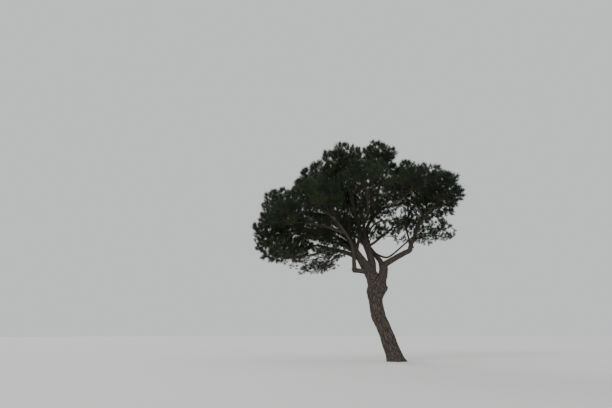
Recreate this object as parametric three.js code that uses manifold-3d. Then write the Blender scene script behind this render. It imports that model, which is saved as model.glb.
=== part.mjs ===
// A mature umbrella-crowned pine, in millimetres, +Z up.
// The origin is the centre of the flat cut at ground level. The trunk leans to -X and forks low.
// Long limbs spread from the fork, and each that ends in the crown carries one mass of needled twigs.
import * as THREE from 'three';
import { mergeVertices } from 'three/addons/utils/BufferGeometryUtils.js';
import Module from 'manifold-3d';

const wasm = await Module();
wasm.setup();

const SAME_POINT = 1e-3; // points of one surface that are closer than this are one point

// Driving sizes
const CLEARANCE = 0.4; // left between a limb and the limb that carries it
const STEM_GAP = 0.3; // left between a limb's tip and the stem of its mass
const TRUNK_SIDES = 14;
const TRUNK_RINGS = 18; // two to each of its sections
const FLARE_HEIGHT = 420; // the root flare dies out over this height
const FLARE_RIDGES = 5; // buttress ridges round the foot
const FLARE_DEPTH = 0.13; // how far a ridge stands out, as a share of the radius
const FLARE_TURN = 0.6; // where the ridges start round the foot, in radians
const SPRAY_LENGTH = 780; // one spray of needles, from its root to its leading tip
const SPRAY_SPACING = 890; // distance between sprays over a mass
const SPRAY_SPACING_SHARE = 0.88; // and at most this share of the mass's mean half size
const SPRAY_SCALES = [1, 0.85, 0.7, 0.55]; // sizes tried for a spray, until one fits
const CROWDED_SHARE = 0.35; // two sprays keep this share of the spacing between their roots
const SURFACE_SHARE = 0.99; // the outermost sprays end this far out in their space
const SHARED_SHARE = 0.75; // no spray where a mass meets its neighbour deeper in than this share
const SPRAY_TEETH = 4; // points round the leading tip
const TOOTH = { forward: 0.66, out: 0.44 }; // the point of a tooth, as shares of the spray's length
const NOTCH = { forward: 0.44, out: 0.15 }; // and the notch between two teeth
const SPRAY_THROAT = 0.06; // share of the spray where its twig ends
const SPRAY_DEPTH = 0.1; // how far in from the surface of its space a spray may end, as a share
const SPRAY_LIFT = { least: 0.25, more: 0.3 }; // how far a spray turns up from straight out
const SPRAY_TWIST = 2; // radians
const TALLEST_SPRAY = 1.5; // no spray is longer than this many half heights of its space
const TWIG_RADIUS = 15; // where a twig enters its spray
const MASS_GAP = 8; // half the gap between the spaces of two masses
const LIMB_GAP = 12; // a twig or spray nearer to a limb than this is skipped
const HUB_MARGIN = 75; // twigs keep this far inside their space
const OPEN_UNDERSIDE = -0.25; // most masses have no spray that points lower than this share of straight down
const TWIG_ADVANCE = 0.36; // how far a twig runs towards its sprays before it forks
const LAST_ADVANCE = 0.3; // and how much further where it serves few of them, shared among them
const TWIG_WANDER = 0.12; // how far a fork strays, as a share of the way to its sprays
const TWIG_TAPER = 0.6;
const STEM_SHARE = 0.92; // thickness of a mass's stem against the tip that it meets
const STEM_REACH = { fixed: 60, radii: 1.6 }; // length of the stem before its first fork
const STEM_TAPER = 0.9; // its thickness at that fork
const SIDE_TWIG_SHARE = 0.55; // thickness of a twig where it leaves another

// The trunk's section at each height: its centre, its width along X and its depth along Y
const TRUNK_SECTIONS = [
  { height: 0, centre: 0, width: 740, depth: 720 },
  { height: 260, centre: -85, width: 665, depth: 640 },
  { height: 560, centre: -200, width: 625, depth: 600 },
  { height: 1130, centre: -394, width: 580, depth: 570 },
  { height: 1620, centre: -608, width: 600, depth: 570 },
  { height: 1850, centre: -674, width: 572, depth: 555 },
  { height: 2350, centre: -750, width: 550, depth: 540 },
  { height: 2690, centre: -714, width: 765, depth: 560 },
  { height: 2950, centre: -676, width: 745, depth: 560 },
  { height: 3190, centre: -700, width: 775, depth: 520 },
];
const TRUNK_CROWN = 90; // the rounded top of the trunk, inside the fork
const KNOT = { height: 2830, reach: 75, width: 150, turn: 0.35 }; // stub of a lost limb, under the fork
const MAIN_LIMB = 250; // limbs thicker than this at the root have the most sides
const SMALL_LIMB = 120; // and limbs thinner than this the fewest
const RING_SHARE = { thick: 2, thin: 1.5 }; // rings of a limb, to each point that it passes through
const LIMB_TAPER = 0.8; // under 1, a limb thins fastest near its root

// Each limb: the limb that carries it, the share of that limb's length where it leaves, the points that it
// passes through, and its thickness at the root and at the tip
const LIMBS = {
  stem: {
    on: 'trunk', at: 0.9, butt: 450, tip: 118,
    through: [
      [-862, 15, 3380], [-862, 30, 3830], [-960, 40, 4240], [-1210, 80, 4860],
      [-1420, 150, 5600], [-1690, 200, 6780],
    ],
  },
  right_fork_limb: {
    on: 'trunk', at: 0.86, butt: 345, tip: 325,
    through: [[-462, 0, 3260], [-385, 0, 3650]],
  },
  right_limb_lower: {
    on: 'right_fork_limb', at: 0.74, butt: 250, tip: 188,
    through: [
      [-352, -15, 3740], [-160, -30, 3875], [78, -70, 4012], [441, -130, 4200], [615, -145, 4278],
      [700, -155, 4400],
    ],
  },
  right_limb_upper: {
    on: 'right_limb_lower', at: 1, butt: 192, tip: 82,
    through: [[722, -160, 4580], [835, -150, 4830], [1025, -60, 5400], [1430, 20, 6020]],
  },
  left_leader: {
    on: 'stem', at: 0.1, butt: 415, tip: 102,
    through: [
      [-1240, -90, 3885], [-1500, -120, 4300], [-1780, -50, 4950], [-2280, 0, 5800],
      [-2740, -50, 6330],
    ],
  },
  right_leader: {
    on: 'stem', at: 0.5, butt: 165, tip: 88,
    through: [[-1035, 120, 5160], [-850, 150, 5640], [-650, 120, 6250], [-480, 60, 6930]],
  },
  centre_leader: {
    on: 'stem', at: 0.56, butt: 145, tip: 84,
    through: [[-1150, -130, 5330], [-985, -520, 5740], [-1020, -1500, 6180]],
  },
  elbow_limb_lower: {
    on: 'stem', at: 0.2, butt: 180, tip: 176,
    through: [[-1320, -240, 3490], [-1630, -310, 3510]],
  },
  elbow_limb_upper: {
    on: 'elbow_limb_lower', at: 0.88, butt: 182, tip: 88,
    through: [
      [-1572, -310, 3800], [-1590, -340, 4170], [-1700, -620, 4600], [-2010, -1350, 5020],
      [-2420, -1920, 5400],
    ],
  },
  left_limb: {
    on: 'left_leader', at: 0.44, butt: 185, tip: 84,
    through: [[-2090, 210, 4830], [-2800, 380, 5230], [-3640, 380, 5790]],
  },
  left_side_limb: {
    on: 'left_limb', at: 0.5, butt: 110, tip: 76,
    through: [[-3150, 170, 5130], [-4030, -20, 5290]],
  },
  low_left_limb: {
    on: 'left_leader', at: 0.26, butt: 200, tip: 98,
    through: [[-1890, -200, 4230], [-2400, -340, 4350], [-2930, -420, 4480]],
  },
  low_inner_limb: {
    on: 'low_left_limb', at: 0.3, butt: 66, tip: 50,
    through: [[-2020, -480, 4230], [-2150, -720, 4220]],
  },
  drooping_limb: {
    on: 'low_left_limb', at: 0.62, butt: 64, tip: 46,
    through: [[-2420, -500, 4120], [-2640, -570, 3820]],
  },
  front_side_limb: {
    on: 'elbow_limb_upper', at: 0.74, butt: 96, tip: 72,
    through: [[-2700, -1430, 5110], [-3420, -1560, 5230]],
  },
  back_limb: {
    on: 'right_fork_limb', at: 0.74, butt: 250, tip: 98,
    through: [[-500, 150, 3880], [-655, 290, 4120], [-890, 480, 4480], [-1260, 900, 5150], [-1560, 1900, 6230]],
  },
  back_left_limb: {
    on: 'back_limb', at: 0.66, butt: 110, tip: 76,
    through: [[-1900, 1290, 5400], [-2520, 1740, 5830]],
  },
  low_back_limb: {
    on: 'back_limb', at: 0.69, butt: 88, tip: 66,
    through: [[-1480, 1480, 5400], [-1780, 1990, 5560]],
  },
  far_back_limb: {
    on: 'left_limb', at: 0.42, butt: 98, tip: 72,
    through: [[-3060, 900, 5290], [-3740, 1380, 5560]],
  },
  low_far_limb: {
    on: 'left_limb', at: 0.3, butt: 84, tip: 60,
    through: [[-2620, 780, 4960], [-2860, 1120, 5030]],
  },
  front_right_limb: {
    on: 'right_leader', at: 0.36, butt: 66, tip: 60,
    through: [[-440, -460, 5900], [-110, -1000, 5930], [320, -1480, 6150]],
  },
  back_right_limb: {
    on: 'right_leader', at: 0.46, butt: 96, tip: 66,
    through: [[-350, 620, 6160], [250, 1130, 6420], [740, 1480, 6620]],
  },
  right_inner_limb: {
    on: 'right_limb_upper', at: 0.14, butt: 76, tip: 56,
    through: [[590, -50, 5010], [560, 110, 5420], [690, 250, 5830], [690, 320, 6150]],
  },
  right_middle_limb: {
    on: 'right_limb_upper', at: 0.42, butt: 80, tip: 60,
    through: [[1130, 260, 5430], [1270, 480, 5600]],
  },
  right_front_limb: {
    on: 'right_limb_upper', at: 0.6, butt: 84, tip: 62,
    through: [[1290, -460, 5620], [1600, -860, 5950]],
  },
  cross_limb: {
    on: 'stem', at: 0.58, butt: 116, tip: 76,
    through: [[-800, -50, 4610], [-420, -120, 4900], [-80, -240, 5150]],
  },
  low_cross_limb: {
    on: 'back_limb', at: 0.54, butt: 92, tip: 54,
    through: [[-560, 420, 4190], [-260, 400, 4096], [0, 400, 4215], [384, 440, 4540], [930, 520, 5010]],
  },
  right_low_limb: {
    on: 'right_limb_upper', at: 0.19, butt: 72, tip: 54,
    through: [[940, -230, 4740], [1080, -300, 4760]],
  },
};

// Each mass of foliage: the limb that ends in it, the centre and half sizes of its space, its seed,
// the distance between its sprays where they are closer than on the others, and how low they point where
// its underside shows
const MASSES = {
  top_left_foliage: {
    on: 'stem',
    centre: [-1820, 150, 7830], half: [1280, 1650, 1150], seed: 353,
  },
  top_right_foliage: {
    on: 'right_leader',
    centre: [-560, -50, 7880], half: [1020, 1600, 1100], seed: 127,
  },
  left_shoulder_foliage: {
    on: 'left_leader',
    centre: [-2910, -150, 7020], half: [1150, 1450, 1120], seed: 480,
  },
  right_shoulder_foliage: {
    on: 'right_inner_limb',
    centre: [500, 250, 7260], half: [1080, 1350, 1040], seed: 127,
  },
  right_lobe_foliage: {
    on: 'right_limb_upper',
    centre: [1980, 100, 6660], half: [920, 1200, 1120], seed: 401, underside: -0.75,
  },
  left_upper_foliage: {
    on: 'left_limb',
    centre: [-4640, 300, 6370], half: [880, 1150, 780], seed: 481,
  },
  left_lobe_foliage: {
    on: 'left_side_limb',
    centre: [-4920, -150, 5120], half: [850, 1250, 950], seed: 425, underside: -0.7,
  },
  left_low_foliage: {
    on: 'low_left_limb',
    centre: [-4350, -350, 4420], half: [1300, 1080, 640], seed: 422, spacing: 700, underside: -0.75,
  },
  low_inner_foliage: {
    on: 'low_inner_limb',
    centre: [-2620, -950, 4200], half: [720, 600, 380], seed: 108, spacing: 570, underside: -0.6,
  },
  drooping_foliage: {
    on: 'drooping_limb',
    centre: [-2950, -600, 3590], half: [820, 620, 380], seed: 19, underside: -0.6,
  },
  front_left_foliage: {
    on: 'elbow_limb_upper',
    centre: [-2950, -2350, 6050], half: [1250, 1300, 950], seed: 356,
  },
  front_side_foliage: {
    on: 'front_side_limb',
    centre: [-4250, -1600, 5400], half: [950, 1150, 900], seed: 391,
  },
  back_foliage: {
    on: 'back_limb',
    centre: [-1450, 2450, 6950], half: [1350, 1300, 1000], seed: 237, spacing: 960, underside: -0.5,
  },
  low_back_foliage: {
    on: 'low_back_limb',
    centre: [-1800, 2300, 6150], half: [1050, 950, 620], seed: 349, spacing: 760, underside: -0.7,
  },
  back_left_foliage: {
    on: 'back_left_limb',
    centre: [-3150, 2250, 6450], half: [1200, 1250, 950], seed: 307, underside: -0.6,
  },
  far_back_foliage: {
    on: 'far_back_limb',
    centre: [-4400, 1650, 5900], half: [900, 1150, 950], seed: 256, underside: -0.5,
  },
  low_far_foliage: {
    on: 'low_far_limb',
    centre: [-3180, 1500, 5230], half: [780, 700, 420], seed: 448, spacing: 640, underside: -0.5,
  },
  front_foliage: {
    on: 'centre_leader',
    centre: [-1050, -2450, 6650], half: [1250, 1300, 850], seed: 120,
  },
  front_right_foliage: {
    on: 'front_right_limb',
    centre: [950, -2050, 6650], half: [1150, 1200, 720], seed: 100,
  },
  back_right_foliage: {
    on: 'back_right_limb',
    centre: [1080, 1950, 6950], half: [1200, 1200, 850], seed: 115,
  },
  right_inner_foliage: {
    on: 'cross_limb',
    centre: [480, -340, 5330], half: [620, 520, 360], seed: 259, underside: -0.6,
  },
  right_low_back_foliage: {
    on: 'low_cross_limb',
    centre: [1700, 820, 5260], half: [850, 700, 300], seed: 233,
  },
  right_low_foliage: {
    on: 'right_low_limb',
    centre: [1700, -460, 4800], half: [800, 600, 250], seed: 338,
  },
  right_middle_foliage: {
    on: 'right_middle_limb',
    centre: [1480, 850, 6030], half: [760, 680, 480], seed: 442, underside: -0.6,
  },
  right_front_foliage: {
    on: 'right_front_limb',
    centre: [2000, -1350, 6450], half: [780, 950, 800], seed: 31, underside: -0.5,
  },
};

// Colours of the bark and of the needles
const barkFinish = new THREE.MeshStandardMaterial({ color: 0x5b4a3e, roughness: 0.95, metalness: 0 });
const needleFinish = new THREE.MeshStandardMaterial({ color: 0x34452a, roughness: 0.7, metalness: 0 });

const vector = (point) => new THREE.Vector3(...point);

// The same run of numbers from 0 to 1 each time, for one seed
function seeded(seed) {
  let state = seed * 7919;
  return () => {
    state = (Math.imul(state, 1664525) + 1013904223) >>> 0;
    return state / 4294967296;
  };
}

// Closed solid of a closed geometry
function solidOf(geometry) {
  const bare = new THREE.BufferGeometry();
  bare.setAttribute('position', geometry.getAttribute('position'));
  bare.setIndex(geometry.getIndex());
  const merged = mergeVertices(bare, SAME_POINT);
  return new wasm.Manifold(new wasm.Mesh({
    numProp: 3,
    vertProperties: new Float32Array(merged.getAttribute('position').array),
    triVerts: new Uint32Array(merged.getIndex().array),
  }));
}

// Named mesh of the largest body of a solid
function meshOf(name, solid, finish) {
  const bodies = solid.decompose().sort((a, b) => b.volume() - a.volume());
  const made = bodies[0].getMesh();
  const geometry = new THREE.BufferGeometry();
  geometry.setAttribute('position', new THREE.BufferAttribute(new Float32Array(made.vertProperties), 3));
  geometry.setIndex(new THREE.BufferAttribute(new Uint32Array(made.triVerts), 1));
  geometry.computeVertexNormals();
  const mesh = new THREE.Mesh(geometry, finish);
  mesh.name = name;
  return mesh;
}

// A closed cylinder whose points are moved by place(share of its length, angle, share of its radius)
function shapedCylinder(sides, rings, place) {
  const geometry = new THREE.CylinderGeometry(1, 1, 1, sides, rings);
  const position = geometry.getAttribute('position');
  for (let i = 0; i < position.count; i++) {
    const share = position.getY(i) + 0.5;
    const radius = Math.hypot(position.getX(i), position.getZ(i));
    const angle = Math.atan2(position.getX(i), position.getZ(i));
    position.setXYZ(i, ...place(share, angle, radius).toArray());
  }
  return geometry;
}

// A smooth curve through the stations of a row of numbers, at a share of the way along them
function smoothBetween(values, share) {
  const spans = values.length - 1;
  const span = Math.min(Math.floor(share * spans), spans - 1);
  const t = share * spans - span;
  const b = values[span];
  const c = values[span + 1];
  const a = span > 0 ? values[span - 1] : 2 * b - c;
  const d = span < spans - 1 ? values[span + 2] : 2 * c - b;
  return 0.5 * (2 * b + (c - a) * t + (2 * a - 5 * b + 4 * c - d) * t * t + (3 * b - a - 3 * c + d) * t ** 3);
}

// Buttress ridges at the foot, and the stub of a lost limb beside the fork
function trunkSwelling(height, angle) {
  const flare = Math.max(0, 1 - height / FLARE_HEIGHT) ** 2;
  const ridges = 1 + FLARE_DEPTH * flare * Math.cos(FLARE_RIDGES * angle + FLARE_TURN);
  const aside = Math.exp(-(((height - KNOT.height) / (KNOT.width / 2)) ** 2) - ((angle / KNOT.turn) ** 2));
  return { ridges, knot: KNOT.reach * aside };
}

// Point on the trunk at a share of its height; its sections stay level, so the foot is a flat cut
function trunkPoint(share, angle, radius, grown) {
  const column = (key) => smoothBetween(TRUNK_SECTIONS.map((section) => section[key]), share);
  const height = column('height');
  const { ridges, knot } = trunkSwelling(height, angle);
  const x = (column('width') / 2 + grown) * ridges + knot;
  const y = (column('depth') / 2 + grown) * ridges;
  const out = new THREE.Vector3(x * radius * Math.cos(angle), y * radius * Math.sin(angle), 0);
  return out.add(new THREE.Vector3(column('centre'), 0, height));
}

function trunkSolid(grown) {
  const body = shapedCylinder(TRUNK_SIDES, TRUNK_RINGS, (share, angle, radius) => {
    const point = trunkPoint(share, angle, radius, grown);
    const insideTop = share > 0.999 && radius < 0.5;
    return insideTop ? point.setZ(point.z + TRUNK_CROWN + grown) : point;
  });
  return solidOf(body);
}

// A limb's axis with its radius at each point, from the axis of the limb that carries it
const axes = { trunk: { rings: TRUNK_RINGS } };
const trunkLine = TRUNK_SECTIONS.map((section) => new THREE.Vector3(section.centre, 0, section.height));
axes.trunk.curve = new THREE.CatmullRomCurve3(trunkLine, false, 'catmullrom', 0.5);
axes.trunk.radiusAt = (share) => smoothBetween(TRUNK_SECTIONS.map((section) => section.depth / 2), share);
for (const [name, limb] of Object.entries(LIMBS)) {
  const root = axes[limb.on].curve.getPoint(limb.at);
  const curve = new THREE.CatmullRomCurve3([root, ...limb.through.map(vector)], false, 'catmullrom', 0.5);
  const radiusAt = (share) => (limb.butt + (limb.tip - limb.butt) * share ** LIMB_TAPER) / 2;
  const rings = Math.round(limb.through.length * (limb.butt > SMALL_LIMB ? RING_SHARE.thick : RING_SHARE.thin));
  axes[name] = { curve, radiusAt, rings };
}
for (const axis of Object.values(axes)) {
  axis.rounds = Array.from({ length: axis.rings + 1 }, (_, i) => {
    const share = i / axis.rings;
    return { point: axis.curve.getPoint(share), radius: axis.radiusAt(share) };
  });
}

// One tapering limb along its axis, made thicker and longer by grown where it serves to cut another
function limbSolid(name, grown) {
  const { curve, radiusAt, rings } = axes[name];
  const { butt } = LIMBS[name];
  const sides = butt > MAIN_LIMB ? 10 : butt > SMALL_LIMB ? 8 : 6;
  const frames = ringFrames(curve, rings);
  return solidOf(shapedCylinder(sides, rings, (share, angle, radius) => {
    const { centre, side, up, along } = frames[Math.round(share * rings)];
    const reach = (radiusAt(share) + grown) * radius;
    const end = share > 0.999 ? grown : 0;
    return centre.clone()
      .addScaledVector(side, reach * Math.cos(angle))
      .addScaledVector(up, reach * Math.sin(angle))
      .addScaledVector(along, end);
  }));
}

// Directions of the rings along a curve, each turned as little as possible from the one before
function ringFrames(curve, rings) {
  let side = new THREE.Vector3(1, 0, 0);
  return Array.from({ length: rings + 1 }, (_, i) => {
    const along = curve.getTangent(i / rings);
    side = side.clone().addScaledVector(along, -side.dot(along)).normalize();
    return { centre: curve.getPoint(i / rings), along, side, up: along.clone().cross(side) };
  });
}

// The planes that part a mass from those that it would meet: a normal and its distance from the centre
function wallsOf(name) {
  const { centre, half } = MASSES[name];
  const walls = [];
  for (const [other, mass] of Object.entries(MASSES)) {
    if (other === name) continue;
    const normal = vector(mass.centre).sub(vector(centre));
    const apart = normal.length();
    normal.normalize();
    const extent = (halves) => vector(halves).multiply(normal).length();
    const [mine, theirs] = [extent(half), extent(mass.half)];
    if (mine + theirs > apart) walls.push({ normal, away: (apart * mine) / (mine + theirs) - MASS_GAP });
  }
  return walls;
}

function insideSpace(space, point, margin) {
  const local = point.clone().sub(space.centre);
  if (space.walls.some(({ normal, away }) => local.dot(normal) > away - margin)) return false;
  return local.divide(space.half).length() <= 1;
}

// Shortest distance between two straight stretches, a to b and c to d
function stretchGap(a, b, c, d) {
  const u = b.clone().sub(a);
  const v = d.clone().sub(c);
  const w = a.clone().sub(c);
  const [uu, uv, vv, uw, vw] = [u.dot(u), u.dot(v), v.dot(v), u.dot(w), v.dot(w)];
  const flat = uu * vv - uv * uv;
  const clamp = (x) => Math.min(1, Math.max(0, x));
  const s = flat > 1e-6 * uu * vv ? clamp((uv * vw - vv * uw) / flat) : 0;
  const t = vv > 0 ? clamp((uv * s + vw) / vv) : 0;
  const again = uu > 0 ? clamp((uv * t - uw) / uu) : 0;
  return a.clone().addScaledVector(u, again).distanceTo(c.clone().addScaledVector(v, t));
}

// True where a twig from a to b would touch a limb
function touchesLimb(a, b, radius) {
  return Object.values(axes).some(({ rounds }) => rounds.some((round, i) => {
    if (i === 0) return false;
    const before = rounds[i - 1];
    return stretchGap(a, b, before.point, round.point) < radius + before.radius + LIMB_GAP;
  }));
}

// A spray of needles: a ring of teeth and notches round one leading tip, on a narrow throat
function sprayPoints({ root, aim, turn, length }) {
  const side = new THREE.Vector3(0, 0, 1).cross(aim);
  const upright = side.length() < 0.1;
  if (upright) side.set(1, 0, 0);
  side.normalize();
  const up = aim.clone().cross(side);
  const ring = Array.from({ length: 2 * SPRAY_TEETH }, (_, i) => {
    const angle = turn + (Math.PI * i) / SPRAY_TEETH;
    const { forward, out } = i % 2 ? NOTCH : TOOTH;
    return root.clone()
      .addScaledVector(aim, forward * length)
      .addScaledVector(side, out * length * Math.cos(angle))
      .addScaledVector(up, out * length * Math.sin(angle));
  });
  return { ring, tip: root.clone().addScaledVector(aim, length), side };
}

// A spray that stands past a wall of its space, moved back behind each wall in turn
function movedInside(space, spray) {
  const root = spray.root.clone();
  for (const { normal, away } of space.walls) {
    const { ring, tip } = sprayPoints({ ...spray, root });
    const past = Math.max(...[...ring, tip].map((point) => point.sub(space.centre).dot(normal) - away));
    if (past > 0) root.addScaledVector(normal, -past - 1);
  }
  return { ...spray, root };
}

function sprayIsClear(space, spray) {
  const { ring, tip } = sprayPoints(spray);
  const pointIsClear = (point) => insideSpace(space, point, 0) && !touchesLimb(spray.root, point, 0);
  return insideSpace(space, spray.root, HUB_MARGIN) && [...ring, tip].every(pointIsClear);
}

// Where the sprays of a mass go: even over its space, where it meets the air, pointing out and up
function sprayGoals(space, random) {
  const { x, y, z } = space.half;
  const mean = Math.cbrt(x * y * z);
  const spacing = space.spacing ?? Math.min(SPRAY_SPACING, SPRAY_SPACING_SHARE * mean);
  const count = Math.ceil((4 * Math.PI * mean ** 2) / spacing ** 2);
  const golden = Math.PI * (3 - Math.sqrt(5));
  const start = random() * 2 * Math.PI;
  const goals = [];
  for (let i = 0; i < count; i++) {
    const [lean, deep, turn] = [random(), random(), random()];
    const height = 1 - (2 * (i + 0.5)) / count;
    if (height < (space.underside ?? OPEN_UNDERSIDE)) continue;
    const round = start + i * golden;
    const level = Math.sqrt(1 - height * height);
    const out = new THREE.Vector3(level * Math.cos(round), level * Math.sin(round), height);
    const reach = out.clone().multiply(space.half).multiplyScalar(SURFACE_SHARE - SPRAY_DEPTH * deep);
    if (!insideSpace(space, reach.clone().multiplyScalar(SHARED_SHARE).add(space.centre), 0)) continue;
    const lift = new THREE.Vector3(0, 0, SPRAY_LIFT.least + SPRAY_LIFT.more * lean);
    const aim = out.clone().add(lift).normalize();
    for (const scale of SPRAY_SCALES) {
      const length = Math.min(SPRAY_LENGTH, TALLEST_SPRAY * z) * scale;
      const root = reach.clone().add(space.centre).addScaledVector(aim, -length);
      const spray = movedInside(space, { root, aim, turn: turn * SPRAY_TWIST, length });
      const crowded = goals.some((goal) => goal.root.distanceTo(spray.root) < CROWDED_SHARE * spacing);
      if (!crowded && sprayIsClear(space, spray)) {
        goals.push(spray);
        break;
      }
    }
  }
  return goals;
}

// Twigs that fork again and again from the stem until each ends in one spray.
// Each twig is a line of points with radii. Half of its sprays go on along it, and the rest on a new one.
function growTwigs(mass, goals, random) {
  const limb = axes[mass.on];
  const along = limb.curve.getTangent(1);
  const root = limb.curve.getPoint(1).addScaledVector(along, STEM_GAP);
  const stemRadius = limb.radiusAt(1) * STEM_SHARE;
  const radiusFor = (served) => {
    const load = (served - 1) / Math.max(1, goals.length - 1);
    return TWIG_RADIUS + (stemRadius - TWIG_RADIUS) * load ** TWIG_TAPER;
  };
  const twigs = [];
  const fork = (line, served) => {
    const hub = line[line.length - 1];
    const spread = ['x', 'y', 'z'].map((axis) => {
      const places = served.map((goal) => goal.root[axis]);
      return { axis, width: Math.max(...places) - Math.min(...places) };
    }).sort((a, b) => b.width - a.width);
    const sorted = [...served].sort((a, b) => a.root[spread[0].axis] - b.root[spread[0].axis]);
    const middle = Math.ceil(sorted.length / 2);
    const groups = [sorted.slice(0, middle), sorted.slice(middle)];
    groups.filter((group) => group.length > 0).forEach((group, i) => {
      const wander = new THREE.Vector3(random() - 0.5, random() - 0.5, random() - 0.5);
      const sideRadius = Math.min(hub.radius, radiusFor(group.length)) * SIDE_TWIG_SHARE;
      const onward = i === 0 ? line : [{ point: hub.point, radius: sideRadius }];
      const thickness = onward[onward.length - 1].radius;
      if (group.length === 1) {
        const clear = !touchesLimb(hub.point, group[0].root, thickness);
        if (clear) twigs.push({ line: onward, spray: group[0] });
        return;
      }
      const centre = new THREE.Vector3();
      for (const goal of group) centre.addScaledVector(goal.root, 1 / group.length);
      const point = hub.point.clone().lerp(centre, TWIG_ADVANCE + LAST_ADVANCE / group.length);
      point.addScaledVector(wander, TWIG_WANDER * hub.point.distanceTo(centre));
      if (touchesLimb(hub.point, point, thickness)) return;
      fork([...onward, { point, radius: Math.min(thickness, radiusFor(group.length)) }], group);
    });
  };
  const entry = root.clone().addScaledVector(along, STEM_REACH.radii * stemRadius + STEM_REACH.fixed);
  fork([{ point: root, radius: stemRadius }, { point: entry, radius: stemRadius * STEM_TAPER }], goals);
  return twigs;
}

// Closed geometry of one three-sided twig that opens into its spray
function twigGeometry({ line, spray }) {
  const sides = 3;
  const throat = spray.root.clone().addScaledVector(spray.aim, SPRAY_THROAT * spray.length);
  const stations = [...line, { point: throat, radius: TWIG_RADIUS }];
  const last = stations.length - 1;
  const directions = stations.map((station, i) => {
    if (i === last) return spray.aim;
    return stations[i + 1].point.clone().sub(stations[Math.max(0, i - 1)].point).normalize();
  });
  const { ring, tip, side } = sprayPoints(spray);
  let across = side;
  const frames = [];
  for (const direction of [...directions].reverse()) {
    across = across.clone().addScaledVector(direction, -across.dot(direction)).normalize();
    frames.unshift({ across, up: direction.clone().cross(across) });
  }
  const points = [];
  stations.forEach(({ point, radius }, i) => {
    for (let k = 0; k < sides; k++) {
      const angle = spray.turn + (2 * Math.PI * k) / sides;
      points.push(point.clone()
        .addScaledVector(frames[i].across, radius * Math.cos(angle))
        .addScaledVector(frames[i].up, radius * Math.sin(angle)));
    }
  });
  const faces = [[0, 2, 1]];
  for (let i = 0; i < last; i++) {
    for (let k = 0; k < sides; k++) {
      const [a, b] = [i * sides + k, i * sides + ((k + 1) % sides)];
      faces.push([a, b, b + sides], [a, b + sides, a + sides]);
    }
  }
  faces.push(...bridge(last * sides, sides, points.length, ring.length));
  const first = points.length;
  points.push(...ring, tip);
  ring.forEach((_, i) => faces.push([first + i, first + ((i + 1) % ring.length), first + ring.length]));
  const numbers = points.flatMap((point) => point.toArray());
  const geometry = new THREE.BufferGeometry();
  geometry.setAttribute('position', new THREE.Float32BufferAttribute(numbers, 3));
  geometry.setIndex(faces.flat());
  return geometry;
}

// Faces between a ring of a few points and one of more, both starting at the same angle
function bridge(inner, innerCount, outer, outerCount) {
  const faces = [];
  let [i, j] = [0, 0];
  while (i < innerCount || j < outerCount) {
    const a = inner + (i % innerCount);
    const b = outer + (j % outerCount);
    if (j / outerCount <= i / innerCount && j < outerCount) {
      faces.push([a, outer + ((j + 1) % outerCount), b]);
      j += 1;
    } else {
      faces.push([a, inner + ((i + 1) % innerCount), b]);
      i += 1;
    }
  }
  return faces;
}

// One mass: its twigs and sprays fused into a single solid, without any that would cut into a limb
function massSolid(name, wood) {
  const mass = MASSES[name];
  const space = { ...mass, centre: vector(mass.centre), half: vector(mass.half), walls: wallsOf(name) };
  const random = seeded(mass.seed);
  const goals = sprayGoals(space, random);
  const twigs = growTwigs(mass, goals, random).map((twig) => solidOf(twigGeometry(twig)));
  return wasm.Manifold.union(twigs.filter((twig) => twig.intersect(wood).isEmpty()));
}

const tree = new THREE.Group();
tree.name = 'umbrella_pine';

let wood = trunkSolid(0);
let grownWood = trunkSolid(CLEARANCE);
tree.add(meshOf('trunk', wood, barkFinish));
for (const name of Object.keys(LIMBS)) {
  const solid = limbSolid(name, 0).subtract(grownWood);
  tree.add(meshOf(name, solid, barkFinish));
  wood = wood.add(solid);
  grownWood = grownWood.add(limbSolid(name, CLEARANCE));
}
for (const name of Object.keys(MASSES)) {
  tree.add(meshOf(name, massSolid(name, wood), needleFinish));
}

export default tree;
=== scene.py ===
# %% [markdown]
# # An umbrella pine, dressed
# The tree is a mature pine that the wind has shaped: a leaning trunk, a low fork, long limbs, and flat
# masses of needled twigs on their ends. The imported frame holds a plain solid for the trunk, for each limb
# and for each mass. This lesson gives them their looks. The limbs are made again from the same sizes and
# get a bark with real relief, and each mass is grown again by the same rule, carried on to fine twigs and
# single needles. Everything is in metres, +Z is up, and the origin is the centre of the flat cut under the
# trunk.

import math

import bpy
import numpy as np
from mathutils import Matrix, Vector


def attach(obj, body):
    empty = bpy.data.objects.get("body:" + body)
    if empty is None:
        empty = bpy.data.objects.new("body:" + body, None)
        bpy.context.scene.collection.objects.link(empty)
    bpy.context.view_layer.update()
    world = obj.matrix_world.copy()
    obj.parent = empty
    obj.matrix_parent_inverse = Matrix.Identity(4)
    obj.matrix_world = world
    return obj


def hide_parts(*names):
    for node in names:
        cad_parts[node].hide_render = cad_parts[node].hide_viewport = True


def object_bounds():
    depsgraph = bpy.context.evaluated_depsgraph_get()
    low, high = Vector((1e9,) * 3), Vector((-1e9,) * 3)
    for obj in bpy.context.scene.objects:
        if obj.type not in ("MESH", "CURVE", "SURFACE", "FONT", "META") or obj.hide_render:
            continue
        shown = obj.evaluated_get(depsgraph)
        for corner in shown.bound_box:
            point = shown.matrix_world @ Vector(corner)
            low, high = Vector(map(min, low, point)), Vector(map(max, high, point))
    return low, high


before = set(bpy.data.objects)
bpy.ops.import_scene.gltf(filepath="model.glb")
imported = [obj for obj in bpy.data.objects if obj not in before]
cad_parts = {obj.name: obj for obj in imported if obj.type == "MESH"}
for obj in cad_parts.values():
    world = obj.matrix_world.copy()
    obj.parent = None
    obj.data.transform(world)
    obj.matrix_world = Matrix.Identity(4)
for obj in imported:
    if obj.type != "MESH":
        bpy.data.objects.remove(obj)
cad_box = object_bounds()
print("CAD box", [round(x, 3) for corner in cad_box for x in corner])

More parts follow.
